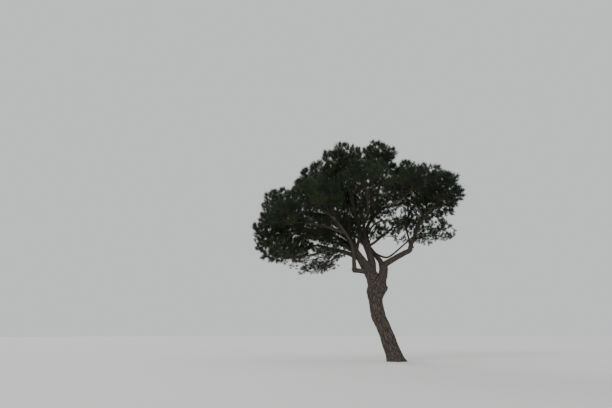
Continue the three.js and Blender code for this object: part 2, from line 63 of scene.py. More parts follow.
# %% [markdown]
# ## The camera
# The view is from low down and some way off, so the camera stands a little over a metre above the ground,
# 24 m in front of the tree, and looks up. A 35 mm lens on a 36 mm sensor gives the same perspective.

# %% Camera
EYE = Vector((-1.5, -24.02, 1.1))
LENS = 35
SENSOR_WIDTH = 36
PITCH = math.radians(12.18)  # up from level
YAW = math.radians(4.8)  # to the left of straight ahead
SIGHT = 1000  # how far the camera sees, past the floor's edge


def set_camera():
    """The camera, turned up and to the left from looking along +Y."""
    bpy.ops.object.select_all(action="DESELECT")
    bpy.ops.object.camera_add(location=EYE, rotation=(math.pi / 2 + PITCH, 0, YAW))
    camera = bpy.context.object
    camera.data.lens = LENS
    camera.data.sensor_width = SENSOR_WIDTH
    camera.data.clip_end = SIGHT
    bpy.context.scene.camera = camera
    return camera


camera = set_camera()
print("camera at", tuple(camera.location))

# %% [markdown]
# ## The trunk and the limbs, as sizes
# The trunk is a stack of level sections, each with its centre, its width across the view and its depth
# along it. A limb is a smooth line from the limb that carries it, with a thickness at its root and at its
# tip. The same table serves three times: for the bark, for the twigs that have to stay clear of the limbs,
# and for the place of each mass of foliage.

# %% Sizes of the trunk
TRUNK_SECTIONS = [  # height, centre, width, depth
    (0.00, 0.000, 0.740, 0.720),
    (0.26, -0.085, 0.665, 0.640),
    (0.56, -0.200, 0.625, 0.600),
    (1.13, -0.394, 0.580, 0.570),
    (1.62, -0.608, 0.600, 0.570),
    (1.85, -0.674, 0.572, 0.555),
    (2.35, -0.750, 0.550, 0.540),
    (2.69, -0.714, 0.765, 0.560),
    (2.95, -0.676, 0.745, 0.560),
    (3.19, -0.700, 0.775, 0.520),
]
TRUNK_CROWN = {"height": 0.09, "share": 0.5}  # the narrower top of the trunk, inside the fork
FLARE_HEIGHT = 0.42
FLARE_RIDGES = 5  # buttress ridges round the foot
FLARE_DEPTH = 0.13  # how far a ridge stands out, as a share of the radius
FLARE_TURN = 0.6  # phase of the ridges' wave round the foot, in radians
FLARE_PULL = 0.6  # reach of the pull on a ridge, as a share of the flare's height
KNOT = {"height": 2.83, "reach": 0.075, "width": 0.15}  # stub of a lost limb, right of the fork
LIMB_TAPER = 0.8  # under 1, a limb thins fastest near its root
SMALL_LIMB = 0.12  # limbs thinner than this at the root have fewer rings in the frame
RINGS_TO_A_POINT = {"small": 1.5, "large": 2}

# %% Sizes of the limbs
LIMBS = {
    "stem": {
        "on": "trunk", "at": 0.9, "butt": 0.45, "tip": 0.118,
        "through": [(-0.862, 0.015, 3.38), (-0.862, 0.03, 3.83), (-0.96, 0.04, 4.24),
                    (-1.21, 0.08, 4.86), (-1.42, 0.15, 5.6), (-1.69, 0.2, 6.78)],
    },
    "right_fork_limb": {
        "on": "trunk", "at": 0.86, "butt": 0.345, "tip": 0.325,
        "through": [(-0.462, 0, 3.26), (-0.385, 0, 3.65)],
    },
    "right_limb_lower": {
        "on": "right_fork_limb", "at": 0.74, "butt": 0.25, "tip": 0.188,
        "through": [(-0.352, -0.015, 3.74), (-0.16, -0.03, 3.875), (0.078, -0.07, 4.012),
                    (0.441, -0.13, 4.2), (0.615, -0.145, 4.278), (0.7, -0.155, 4.4)],
    },
    "right_limb_upper": {
        "on": "right_limb_lower", "at": 1, "butt": 0.192, "tip": 0.082,
        "through": [(0.722, -0.16, 4.58), (0.835, -0.15, 4.83),
                    (1.025, -0.06, 5.4), (1.43, 0.02, 6.02)],
    },
    "left_leader": {
        "on": "stem", "at": 0.1, "butt": 0.415, "tip": 0.102,
        "through": [(-1.24, -0.09, 3.885), (-1.5, -0.12, 4.3), (-1.78, -0.05, 4.95),
                    (-2.28, 0, 5.8), (-2.74, -0.05, 6.33)],
    },
    "right_leader": {
        "on": "stem", "at": 0.5, "butt": 0.165, "tip": 0.088,
        "through": [(-1.035, 0.12, 5.16), (-0.85, 0.15, 5.64),
                    (-0.65, 0.12, 6.25), (-0.48, 0.06, 6.93)],
    },
    "centre_leader": {
        "on": "stem", "at": 0.56, "butt": 0.145, "tip": 0.084,
        "through": [(-1.15, -0.13, 5.33), (-0.985, -0.52, 5.74), (-1.02, -1.5, 6.18)],
    },
    "elbow_limb_lower": {
        "on": "stem", "at": 0.2, "butt": 0.18, "tip": 0.176,
        "through": [(-1.32, -0.24, 3.49), (-1.63, -0.31, 3.51)],
    },
    "elbow_limb_upper": {
        "on": "elbow_limb_lower", "at": 0.88, "butt": 0.182, "tip": 0.088,
        "through": [(-1.572, -0.31, 3.8), (-1.59, -0.34, 4.17), (-1.7, -0.62, 4.6),
                    (-2.01, -1.35, 5.02), (-2.42, -1.92, 5.4)],
    },
    "left_limb": {
        "on": "left_leader", "at": 0.44, "butt": 0.185, "tip": 0.084,
        "through": [(-2.09, 0.21, 4.83), (-2.8, 0.38, 5.23), (-3.64, 0.38, 5.79)],
    },
    "left_side_limb": {
        "on": "left_limb", "at": 0.5, "butt": 0.11, "tip": 0.076,
        "through": [(-3.15, 0.17, 5.13), (-4.03, -0.02, 5.29)],
    },
    "low_left_limb": {
        "on": "left_leader", "at": 0.26, "butt": 0.2, "tip": 0.098,
        "through": [(-1.89, -0.2, 4.23), (-2.4, -0.34, 4.35), (-2.93, -0.42, 4.48)],
    },
    "low_inner_limb": {
        "on": "low_left_limb", "at": 0.3, "butt": 0.066, "tip": 0.05,
        "through": [(-2.02, -0.48, 4.23), (-2.15, -0.72, 4.22)],
    },
    "drooping_limb": {
        "on": "low_left_limb", "at": 0.62, "butt": 0.064, "tip": 0.046,
        "through": [(-2.42, -0.5, 4.12), (-2.64, -0.57, 3.82)],
    },
    "front_side_limb": {
        "on": "elbow_limb_upper", "at": 0.74, "butt": 0.096, "tip": 0.072,
        "through": [(-2.7, -1.43, 5.11), (-3.42, -1.56, 5.23)],
    },
    "back_limb": {
        "on": "right_fork_limb", "at": 0.74, "butt": 0.25, "tip": 0.098,
        "through": [(-0.5, 0.15, 3.88), (-0.655, 0.29, 4.12), (-0.89, 0.48, 4.48),
                    (-1.26, 0.9, 5.15), (-1.56, 1.9, 6.23)],
    },
    "back_left_limb": {
        "on": "back_limb", "at": 0.66, "butt": 0.11, "tip": 0.076,
        "through": [(-1.9, 1.29, 5.4), (-2.52, 1.74, 5.83)],
    },
    "low_back_limb": {
        "on": "back_limb", "at": 0.69, "butt": 0.088, "tip": 0.066,
        "through": [(-1.48, 1.48, 5.4), (-1.78, 1.99, 5.56)],
    },
    "far_back_limb": {
        "on": "left_limb", "at": 0.42, "butt": 0.098, "tip": 0.072,
        "through": [(-3.06, 0.9, 5.29), (-3.74, 1.38, 5.56)],
    },
    "low_far_limb": {
        "on": "left_limb", "at": 0.3, "butt": 0.084, "tip": 0.06,
        "through": [(-2.62, 0.78, 4.96), (-2.86, 1.12, 5.03)],
    },
    "front_right_limb": {
        "on": "right_leader", "at": 0.36, "butt": 0.066, "tip": 0.06,
        "through": [(-0.44, -0.46, 5.9), (-0.11, -1, 5.93), (0.32, -1.48, 6.15)],
    },
    "back_right_limb": {
        "on": "right_leader", "at": 0.46, "butt": 0.096, "tip": 0.066,
        "through": [(-0.35, 0.62, 6.16), (0.25, 1.13, 6.42), (0.74, 1.48, 6.62)],
    },
    "right_inner_limb": {
        "on": "right_limb_upper", "at": 0.14, "butt": 0.076, "tip": 0.056,
        "through": [(0.59, -0.05, 5.01), (0.56, 0.11, 5.42), (0.69, 0.25, 5.83), (0.69, 0.32, 6.15)],
    },
    "right_middle_limb": {
        "on": "right_limb_upper", "at": 0.42, "butt": 0.08, "tip": 0.06,
        "through": [(1.13, 0.26, 5.43), (1.27, 0.48, 5.6)],
    },
    "right_front_limb": {
        "on": "right_limb_upper", "at": 0.6, "butt": 0.084, "tip": 0.062,
        "through": [(1.29, -0.46, 5.62), (1.6, -0.86, 5.95)],
    },
    "cross_limb": {
        "on": "stem", "at": 0.58, "butt": 0.116, "tip": 0.076,
        "through": [(-0.8, -0.05, 4.61), (-0.42, -0.12, 4.9), (-0.08, -0.24, 5.15)],
    },
    "low_cross_limb": {
        "on": "back_limb", "at": 0.54, "butt": 0.092, "tip": 0.054,
        "through": [(-0.56, 0.42, 4.19), (-0.26, 0.4, 4.096), (0, 0.4, 4.215),
                    (0.384, 0.44, 4.54), (0.93, 0.52, 5.01)],
    },
    "right_low_limb": {
        "on": "right_limb_upper", "at": 0.19, "butt": 0.072, "tip": 0.054,
        "through": [(0.94, -0.23, 4.74), (1.08, -0.3, 4.76)],
    },
}
print(len(LIMBS), "limbs")

# %% [markdown]
# ## Smooth lines through points
# A limb bends gently, so its points are joined by a Catmull-Rom curve, the same as in the frame's source.
# Rings of the limb need a sideways direction that doesn't spin about the line, so each ring's direction is
# the last one, turned as little as possible.

# %% Curves
STEP = 1e-4  # of a curve's length, for its direction


def smooth_through(rows, shares):
    """Points on a smooth curve through the rows of an array, at shares of the way along it."""
    rows = np.asarray(rows, float)
    spans = len(rows) - 1
    place = np.clip(np.asarray(shares, float), 0, 1) * spans
    span = np.minimum(place.astype(int), spans - 1)
    t = (place - span)[..., None]
    padded = np.vstack([2 * rows[0] - rows[1], rows, 2 * rows[-1] - rows[-2]])
    a, b, c, d = (padded[span + k] for k in range(4))
    return 0.5 * (2 * b + (c - a) * t + (2 * a - 5 * b + 4 * c - d) * t**2 + (3 * b - a - 3 * c + d) * t**3)


def unit(vectors):
    """The same directions, each of length 1."""
    vectors = np.asarray(vectors, float)
    return vectors / np.maximum(np.linalg.norm(vectors, axis=-1, keepdims=True), 1e-12)


def point_at(axis, shares):
    return smooth_through(axis["points"], shares)


def along_at(axis, shares):
    shares = np.asarray(shares, float)
    return unit(point_at(axis, np.minimum(shares + STEP, 1)) - point_at(axis, np.maximum(shares - STEP, 0)))


def radius_at(axis, shares):
    if "depths" in axis:
        return smooth_through(axis["depths"], shares)[..., 0] / 2
    return (axis["butt"] + (axis["tip"] - axis["butt"]) * np.asarray(shares, float) ** LIMB_TAPER) / 2


def make_axes():
    """The line and thickness of the trunk and of each limb, by name."""
    axes = {
        "trunk": {
            "points": np.array([(centre, 0, height) for height, centre, _, _ in TRUNK_SECTIONS]),
            "depths": np.array([[depth] for _, _, _, depth in TRUNK_SECTIONS]),
            "rings": 2 * (len(TRUNK_SECTIONS) - 1),
        }
    }
    for name, limb in LIMBS.items():
        root = point_at(axes[limb["on"]], limb["at"])
        rings = RINGS_TO_A_POINT["large" if limb["butt"] > SMALL_LIMB else "small"]
        axes[name] = {
            "points": np.vstack([root, limb["through"]]),
            "butt": limb["butt"],
            "tip": limb["tip"],
            "rings": round(len(limb["through"]) * rings + 1e-6),
        }
    return axes


AXES = make_axes()
print("the stem starts at", AXES["stem"]["points"][0].round(3))

# %% [markdown]
# ## The trunk
# A trunk could be a plain cylinder, but a real one swells at each limb and spreads at its foot. A disc is
# drawn up section by section instead: extrude, then scale, as by hand. It starts a little below the ground,
# where it is cut flat later. Then the foot's buttress ridges and the stub of a lost limb are pulled out
# with proportional editing, which draws the skin around along.

# %% Trunk
TRUNK_SIDES = 60
TRUNK_LIFTS = 40  # times the disc is extruded
TRUNK_SAMPLES = 400  # for finding the trunk's side at a height
BELOW_GROUND = 0.1
BARK_ROOM = 0.005  # the skin starts this much fatter than the frame's wood, because its furrows are cut in


def deselect():
    bpy.ops.object.select_all(action="DESELECT")


def select_vertices(mesh, chosen):
    """Selects these vertices only, from object mode."""
    for part in (mesh.polygons, mesh.edges):
        part.foreach_set("select", np.zeros(len(part), bool))
    mesh.vertices.foreach_set("select", chosen)


def vertices_of(mesh):
    places = np.empty(len(mesh.vertices) * 3)
    mesh.vertices.foreach_get("co", places)
    return places.reshape(-1, 3)


def trunk_column(shares):
    """Height, centre, width and depth of the trunk at shares of its height."""
    return smooth_through(TRUNK_SECTIONS, shares)


def draw_up_trunk():
    """A disc extruded and scaled from section to section."""
    height, centre, width, depth = TRUNK_SECTIONS[0]
    bpy.ops.mesh.primitive_circle_add(
        vertices=TRUNK_SIDES, radius=0.5, fill_type="NGON", location=(centre, 0, height - BELOW_GROUND)
    )
    trunk = bpy.context.object
    trunk.name = "trunk_bark"
    bpy.ops.transform.resize(value=(width, depth, 1))
    bpy.ops.object.transform_apply(location=True, rotation=True, scale=True)
    bpy.ops.object.mode_set(mode="EDIT")
    bpy.ops.mesh.select_all(action="SELECT")
    last = np.array([height - BELOW_GROUND, centre, width, depth])
    for section in trunk_column(np.linspace(0, 1, TRUNK_LIFTS + 1)):
        height, centre, width, depth = section + (0, 0, 2 * BARK_ROOM, 2 * BARK_ROOM)
        step = (centre - last[1], 0, height - last[0])
        bpy.ops.mesh.extrude_region_move(TRANSFORM_OT_translate={"value": step})
        grow = (width / last[2], depth / last[3], 1)
        bpy.ops.transform.resize(value=grow, center_override=(centre, 0, height))
        last = (height, centre, width, depth)
    bpy.ops.mesh.extrude_region_move(TRANSFORM_OT_translate={"value": (0, 0, TRUNK_CROWN["height"])})
    narrow = (TRUNK_CROWN["share"], TRUNK_CROWN["share"], 1)
    bpy.ops.transform.resize(value=narrow, center_override=(centre, 0, height))
    bpy.ops.object.mode_set(mode="OBJECT")
    return trunk


def pull(mesh, near, step, reach):
    """Moves the vertex nearest to a point, and the skin within reach of it less and less."""
    gaps = np.linalg.norm(vertices_of(mesh) - near, axis=1)
    select_vertices(mesh, gaps == gaps.min())
    bpy.ops.object.mode_set(mode="EDIT")
    bpy.ops.transform.translate(
        value=step, use_proportional_edit=True, proportional_edit_falloff="SMOOTH", proportional_size=reach
    )
    bpy.ops.object.mode_set(mode="OBJECT")


def shape_foot(trunk):
    """Buttress ridges round the foot, pulled out."""
    foot = TRUNK_SECTIONS[0][2] / 2
    for i in range(FLARE_RIDGES):
        angle = (2 * math.pi * i - FLARE_TURN) / FLARE_RIDGES
        out = np.array([math.cos(angle), math.sin(angle), 0])
        pull(trunk.data, out * foot, out * foot * FLARE_DEPTH, FLARE_HEIGHT * FLARE_PULL)


def shape_knot(trunk):
    """The stub of a lost limb, right of the fork."""
    sections = trunk_column(np.linspace(0, 1, TRUNK_SAMPLES))
    _, centre, width, _ = sections[np.abs(sections[:, 0] - KNOT["height"]).argmin()]
    place = np.array([centre + width / 2, 0, KNOT["height"]])
    pull(trunk.data, place, (KNOT["reach"], 0, 0), KNOT["width"])


deselect()
trunk = draw_up_trunk()
shape_foot(trunk)
shape_knot(trunk)
print("trunk", len(trunk.data.vertices), "vertices")

# %% [markdown]
# ## The limbs
# A limb is a long round thing that bends and thins, which is what a curve with a bevel makes: each point on
# the curve has its own radius. Where a limb leaves another it has a collar, so it is thicker there. The
# curve is then turned into a mesh, so that it can be joined to the trunk.

# %% Limbs
POINT_EVERY = 0.06  # along a limb
FEWEST_POINTS = 8
LENGTH_SAMPLES = 60  # for measuring a limb
TUBE_ROUNDNESS = 4  # gives the tube twelve sides
COLLAR = {"share": 0.28, "reach": 1.3}  # how much thicker a root is, and how far out, in radii of the limb


def length_of(axis):
    points = point_at(axis, np.linspace(0, 1, LENGTH_SAMPLES))
    return float(np.linalg.norm(np.diff(points, axis=0), axis=1).sum())


def limb_tube(name):
    """One limb: a curve through its points with a radius at each, turned into a closed mesh."""
    axis = AXES[name]
    length = length_of(axis)
    shares = np.linspace(0, 1, max(FEWEST_POINTS, round(length / POINT_EVERY)))
    radii = radius_at(axis, shares) + BARK_ROOM
    carrier = AXES[LIMBS[name]["on"]]
    from_skin = shares * length - float(radius_at(carrier, LIMBS[name]["at"]))
    radii *= 1 + COLLAR["share"] * np.exp(-np.maximum(from_skin, 0) / (COLLAR["reach"] * radii[0]))
    bpy.ops.curve.primitive_nurbs_path_add(location=(0, 0, 0))
    curve = bpy.context.object.data
    curve.splines.clear()
    line = curve.splines.new("POLY")
    line.points.add(len(shares) - 1)
    places = np.hstack([point_at(axis, shares), np.ones((len(shares), 1))])
    line.points.foreach_set("co", places.ravel())
    line.points.foreach_set("radius", radii)
    curve.bevel_depth = 1
    curve.bevel_resolution = TUBE_ROUNDNESS
    curve.use_fill_caps = True
    bpy.ops.object.convert(target="MESH")
    bpy.context.object.name = name + "_bark"
    return bpy.context.object


def joined(parts, name):
    """The parts as one mesh."""
    deselect()
    for part in parts:
        part.select_set(True)
    bpy.context.view_layer.objects.active = parts[0]
    bpy.ops.object.join()
    parts[0].name = parts[0].data.name = name
    return parts[0]


THICK_BUTT = 0.15  # limbs thicker than this at the root are one mesh with the trunk
thick_limbs = [name for name in LIMBS if LIMBS[name]["butt"] >= THICK_BUTT]
thin_limbs = [name for name in LIMBS if name not in thick_limbs]
main_wood = joined([trunk] + [limb_tube(name) for name in thick_limbs], "trunk_and_main_limbs")
side_wood = joined([limb_tube(name) for name in thin_limbs], "side_limbs")
print("main limbs", thick_limbs)
print("side limbs", thin_limbs)

# %% [markdown]
# ## One skin over the forks
# The tubes only run into each other. Wood grows over such a joint, so a voxel remesh wraps all of them in
# one new skin, and some smoothing rounds the creases between them. The skin is fine enough to carry the
# bark's relief.

# %% Skin
MAIN_VOXEL = 0.0105
SIDE_VOXEL = 0.0095
SKIN_SMOOTHING = {"factor": 0.5, "iterations": 5}


def pick(piece):
    """Selects this piece only, and makes it the active one."""
    deselect()
    piece.select_set(True)
    bpy.context.view_layer.objects.active = piece


def modify(piece, kind, **settings):
    """Adds a modifier with its settings and applies it."""
    pick(piece)
    modifier = piece.modifiers.new(kind.title(), kind)
    for key, value in settings.items():
        setattr(modifier, key, value)
    bpy.ops.object.modifier_apply(modifier=modifier.name)


for wood, voxel in ((main_wood, MAIN_VOXEL), (side_wood, SIDE_VOXEL)):
    modify(wood, "REMESH", mode="VOXEL", voxel_size=voxel)
    modify(wood, "SMOOTH", **SKIN_SMOOTHING)
    print(wood.name, len(wood.data.polygons), "faces in the new skin")

# %% [markdown]
# ## Where each point is on the bark
# Bark grows in plates that are longer along the limb than round it. So the pattern needs to know, at each
# point of the skin, how far along its limb it is and which side of it. The nearest line is found for each
# point, and the point's place is written down as if that limb were straight. A thick trunk has larger
# plates than a thin limb, so the place is divided by the size of the limb's plates.

# %% Straightened places
SAMPLE_EVERY = 0.04  # along a limb
FEWEST_SAMPLES = 4
LIMB_SHIFT = 7.0  # moves the pattern on from limb to limb, so that no two limbs share it
PLATE_STRETCH = 2.8  # a plate's length over its width
PLATE_WIDTH = {"fixed": 0.022, "per_radius": 0.2}
CHUNK = 20000  # points handled at once
FAR, RADIUS, PLATE = 12, 13, 14  # columns of the samples, after the centre and three directions


def frames_along(axis, shares):
    """Centre, side, up and direction of the rings, each turned as little as possible from the one before."""
    centres, along = point_at(axis, shares), along_at(axis, shares)
    side = np.array([1.0, 0, 0])
    sides = []
    for direction in along:
        side = unit(side - direction * (side @ direction))
        sides.append(side)
    sides = np.array(sides)
    return centres, sides, np.cross(along, sides), along


def bark_samples(names):
    """A row for each ring: centre, side, up, direction, place along the limb, radius and plate width."""
    tables = []
    for i, name in enumerate(names):
        axis = AXES[name]
        length = length_of(axis)
        shares = np.linspace(0, 1, max(FEWEST_SAMPLES, round(length / SAMPLE_EVERY)))
        radii = radius_at(axis, shares)
        plate = PLATE_WIDTH["fixed"] + PLATE_WIDTH["per_radius"] * radii.mean()
        far = (shares * length + LIMB_SHIFT * i)[:, None]
        column = [*frames_along(axis, shares), far, radii[:, None], np.full((len(shares), 1), plate)]
        tables.append(np.hstack(column))
    return np.vstack(tables)


def write_bark_places(piece, names):
    """Stores each point's straightened place in plates, and the radius of its limb."""
    table = bark_samples(names)
    points = vertices_of(piece.data)
    places, girths = [], []
    for start in range(0, len(points), CHUNK):
        some = points[start:start + CHUNK]
        squares = (some**2).sum(1)[:, None] - 2 * some @ table[:, :3].T + (table[:, :3] ** 2).sum(1)
        near = table[np.argmin(np.sqrt(np.maximum(squares, 0)) - table[:, RADIUS], axis=1)]
        off = some - near[:, :3]
        across = [(off * near[:, 3 * k:3 * k + 3]).sum(1) for k in (1, 2, 3)]
        far = (near[:, FAR] + across[2]) / PLATE_STRETCH
        places.append(np.stack([across[0], across[1], far], 1) / near[:, PLATE, None])
        girths.append(near[:, RADIUS])
    place = piece.data.attributes.new("bark_place", "FLOAT_VECTOR", "POINT")
    place.data.foreach_set("vector", np.vstack(places).astype(np.float32).ravel())
    girth = piece.data.attributes.new("girth", "FLOAT", "POINT")
    girth.data.foreach_set("value", np.hstack(girths).astype(np.float32))


write_bark_places(main_wood, ["trunk"] + thick_limbs)
write_bark_places(side_wood, thin_limbs)
print("bark places written")

# %% [markdown]
# ## The bark's relief
# Old pine bark is thick plates with deep furrows between them, and each plate is a stack of flakes. A
# Voronoi pattern has such cells: the distance to a cell's edge gives the furrow, and the cell's own random
# value lifts some plates above others. A geometry-nodes modifier reads the straightened place, moves each
# point along its normal, and keeps the furrow, as a mask for painted shade, and the plate's value for the
# colour. The furrows are cut in, so the limb's outline stays its own.

# %% Relief
FURROW = {"deep": 0.085, "from": 0.01, "to": 0.2}  # depth in radii of the limb; edges in plates
DEEPEST = 0.02  # of any furrow
PLATE_LIFT = 0.4  # share of the depth by which plates differ
WANDER = {"scale": 1.2, "detail": 3.0, "reach": 0.8}  # bends the straight edges of the plates
FLAKE = {"scale": 5.0, "detail": 4.0, "share": 0.4}
LUMPS = {"scale": 2.3, "detail": 1.0, "share": 0.09}  # slow swellings of the wood, in radii of the limb


def add_node(tree, kind, inputs=(), **settings):
    """A node with its settings. Each input is a name or number with a value, or a socket to link from."""
    made = tree.nodes.new(kind)
    for key, value in settings.items():
        setattr(made, key, value)
    for key, value in dict(inputs).items():
        if isinstance(value, bpy.types.NodeSocket):
            tree.links.new(value, made.inputs[key])
        else:
            made.inputs[key].default_value = value
    return made


def calculate(tree, operation, first, second):
    return add_node(tree, "ShaderNodeMath", {0: first, 1: second}, operation=operation).outputs[0]


def noise(tree, place, texture):
    inputs = {"Vector": place, "Scale": texture["scale"], "Detail": texture["detail"]}
    return add_node(tree, "ShaderNodeTexNoise", inputs)


def bent_by(tree, wander, place, reach):
    """The place moved about by a noise, so that what is drawn on it has no straight lines."""
    inputs = {0: wander.outputs["Color"], 1: (reach,) * 3, 2: place}
    return add_node(tree, "ShaderNodeVectorMath", inputs, operation="MULTIPLY_ADD").outputs[0]


def edge_distance(tree, place, scale):
    """How far each point is from the edge of its Voronoi cell."""
    inputs = {"Vector": place, "Scale": scale}
    return add_node(tree, "ShaderNodeTexVoronoi", inputs, feature="DISTANCE_TO_EDGE").outputs["Distance"]


def plate_pattern(tree, bent):
    """For each point: 0 in a furrow and 1 on a plate, and the random value of its plate."""
    inputs = {"Value": edge_distance(tree, bent, 1.0), 1: FURROW["from"], 2: FURROW["to"]}
    plate = add_node(tree, "ShaderNodeMapRange", inputs, interpolation_type="SMOOTHSTEP").outputs[0]
    cell = add_node(tree, "ShaderNodeTexVoronoi", {"Vector": bent, "Scale": 1.0}).outputs["Color"]
    return plate, add_node(tree, "ShaderNodeSeparateXYZ", {0: cell}).outputs[0]


def relief_height(tree, bent, plate, cell, girth):
    """How far each point is moved: in for a furrow, out or in for flakes and for lumps of the wood."""
    height = calculate(tree, "SUBTRACT", plate, 1.0)
    height = calculate(tree, "ADD", height, calculate(tree, "MULTIPLY", cell, PLATE_LIFT))
    flake = calculate(tree, "SUBTRACT", noise(tree, bent, FLAKE).outputs[0], 0.5)
    height = calculate(tree, "ADD", height, calculate(tree, "MULTIPLY", flake, FLAKE["share"]))
    depth = calculate(tree, "MINIMUM", calculate(tree, "MULTIPLY", girth, FURROW["deep"]), DEEPEST)
    height = calculate(tree, "MULTIPLY", height, depth)
    position = tree.nodes.new("GeometryNodeInputPosition").outputs[0]
    lump = calculate(tree, "SUBTRACT", noise(tree, position, LUMPS).outputs[0], 0.5)
    lump = calculate(tree, "MULTIPLY", lump, girth)
    return calculate(tree, "ADD", height, calculate(tree, "MULTIPLY", lump, LUMPS["share"]))


def value_on_skin(tree, name, kind):
    made = add_node(tree, "GeometryNodeInputNamedAttribute", {"Name": name}, data_type=kind)
    return made.outputs["Attribute"]


def relief_group():
    """Geometry nodes that carve the bark."""
    tree = bpy.data.node_groups.new("bark_relief", "GeometryNodeTree")
    for way in ("INPUT", "OUTPUT"):
        tree.interface.new_socket("Geometry", in_out=way, socket_type="NodeSocketGeometry")
    skin = tree.nodes.new("NodeGroupInput").outputs[0]
    place = value_on_skin(tree, "bark_place", "FLOAT_VECTOR")
    girth = value_on_skin(tree, "girth", "FLOAT")
    bent = bent_by(tree, noise(tree, place, WANDER), place, WANDER["reach"])
    plate, cell = plate_pattern(tree, bent)
    height = relief_height(tree, bent, plate, cell, girth)
    normal = tree.nodes.new("GeometryNodeInputNormal").outputs[0]
    step = add_node(tree, "ShaderNodeVectorMath", {0: normal, "Scale": height}, operation="SCALE").outputs[0]
    # the furrow mask is kept for the painted shade in the furrows, and the plate's value for its colour
    for name, value in (("plate", plate), ("tone", cell)):
        inputs = {"Geometry": skin, "Name": name, "Value": value}
        skin = add_node(tree, "GeometryNodeStoreNamedAttribute", inputs).outputs[0]
    moved = add_node(tree, "GeometryNodeSetPosition", {"Geometry": skin, "Offset": step})
    tree.links.new(moved.outputs[0], tree.nodes.new("NodeGroupOutput").inputs[0])
    return tree


relief = relief_group()
for wood in (main_wood, side_wood):
    modify(wood, "NODES", node_group=relief)
print("attributes", [a.name for a in main_wood.data.attributes])

# %% [markdown]
# ## Cut at the ground, and thinned
# The trunk was made a little too long downwards, and a bisect cuts it flat at ground level. The fine skin
# is only needed where the furrows are, so a decimate takes faces out where the wood is plain.

# %% Ground cut
WOOD_TRIANGLES = 190000


def cut_at_ground(piece):
    bpy.context.view_layer.objects.active = piece
    bpy.ops.object.mode_set(mode="EDIT")
    bpy.ops.mesh.select_all(action="SELECT")
    bpy.ops.mesh.bisect(plane_co=(0, 0, 0), plane_no=(0, 0, 1), clear_inner=True, use_fill=True)
    bpy.ops.object.mode_set(mode="OBJECT")


def triangles_of(piece):
    sides = np.empty(len(piece.data.polygons), np.int32)
    piece.data.polygons.foreach_get("loop_total", sides)
    return int((sides - 2).sum())


cut_at_ground(main_wood)
for wood in (main_wood, side_wood):
    before = triangles_of(wood)
    if before > WOOD_TRIANGLES:
        modify(wood, "DECIMATE", ratio=WOOD_TRIANGLES / before)
    pick(wood)
    bpy.ops.object.shade_smooth()
    print(wood.name, before, "triangles, thinned to", triangles_of(wood))

# %% [markdown]
# ## The bark's finish
# The plates are grey-brown, some redder and some greyer, with a fine grain of flakes. Painted shade darkens
# the furrows between them to nearly black, and the edges of fine cracks less. The colour follows the values
# that the relief has left on the skin, so it always sits right. Fine grain that is too small for the mesh is
# bump, and the bark has hardly any gloss.

# %% Bark
# painted shade, laid in the furrows and, less, at the edges of fine cracks
FURROW_PAINTED_SHADE = (0.034, 0.027, 0.022, 1)
PLATE_COLOURS = (
    (0.060, 0.046, 0.037, 1),
    (0.100, 0.077, 0.062, 1),
    (0.092, 0.080, 0.071, 1),
    (0.135, 0.118, 0.104, 1),
)
MOTTLE = {"scale": 2.2, "detail": 5.0}  # patches of lighter and darker bark
TONE_SHARES = (0.4, 0.6)  # of the plate's own value and of the mottle in its colour
CRACK = {"scale": 2.7, "bend": 0.35, "to": 0.13, "dark": 0.45}  # fine cracks; scale to a plate's width; dark is the painted shade at a crack's edge
GRAIN = {"scale": 38, "detail": 6.0, "height": 0.004, "strength": 0.8}  # scale to a metre
BARK_ROUGHNESS = 0.93
BARK_SPECULAR = 0.25


def new_material(name):
    material = bpy.data.materials.new(name)
    material.use_nodes = True
    tree = material.node_tree
    shader = tree.nodes["Principled BSDF"]
    return material, tree, shader


def colour_ramp(tree, value, colours):
    """A smooth run through these colours, evenly spaced."""
    made = add_node(tree, "ShaderNodeValToRGB", {"Fac": value})
    stops = made.color_ramp.elements
    while len(stops) < len(colours):
        stops.new(0.5)
    for i, colour in enumerate(colours):
        stops[i].position = i / (len(colours) - 1)
        stops[i].color = colour
    return made.outputs["Color"]


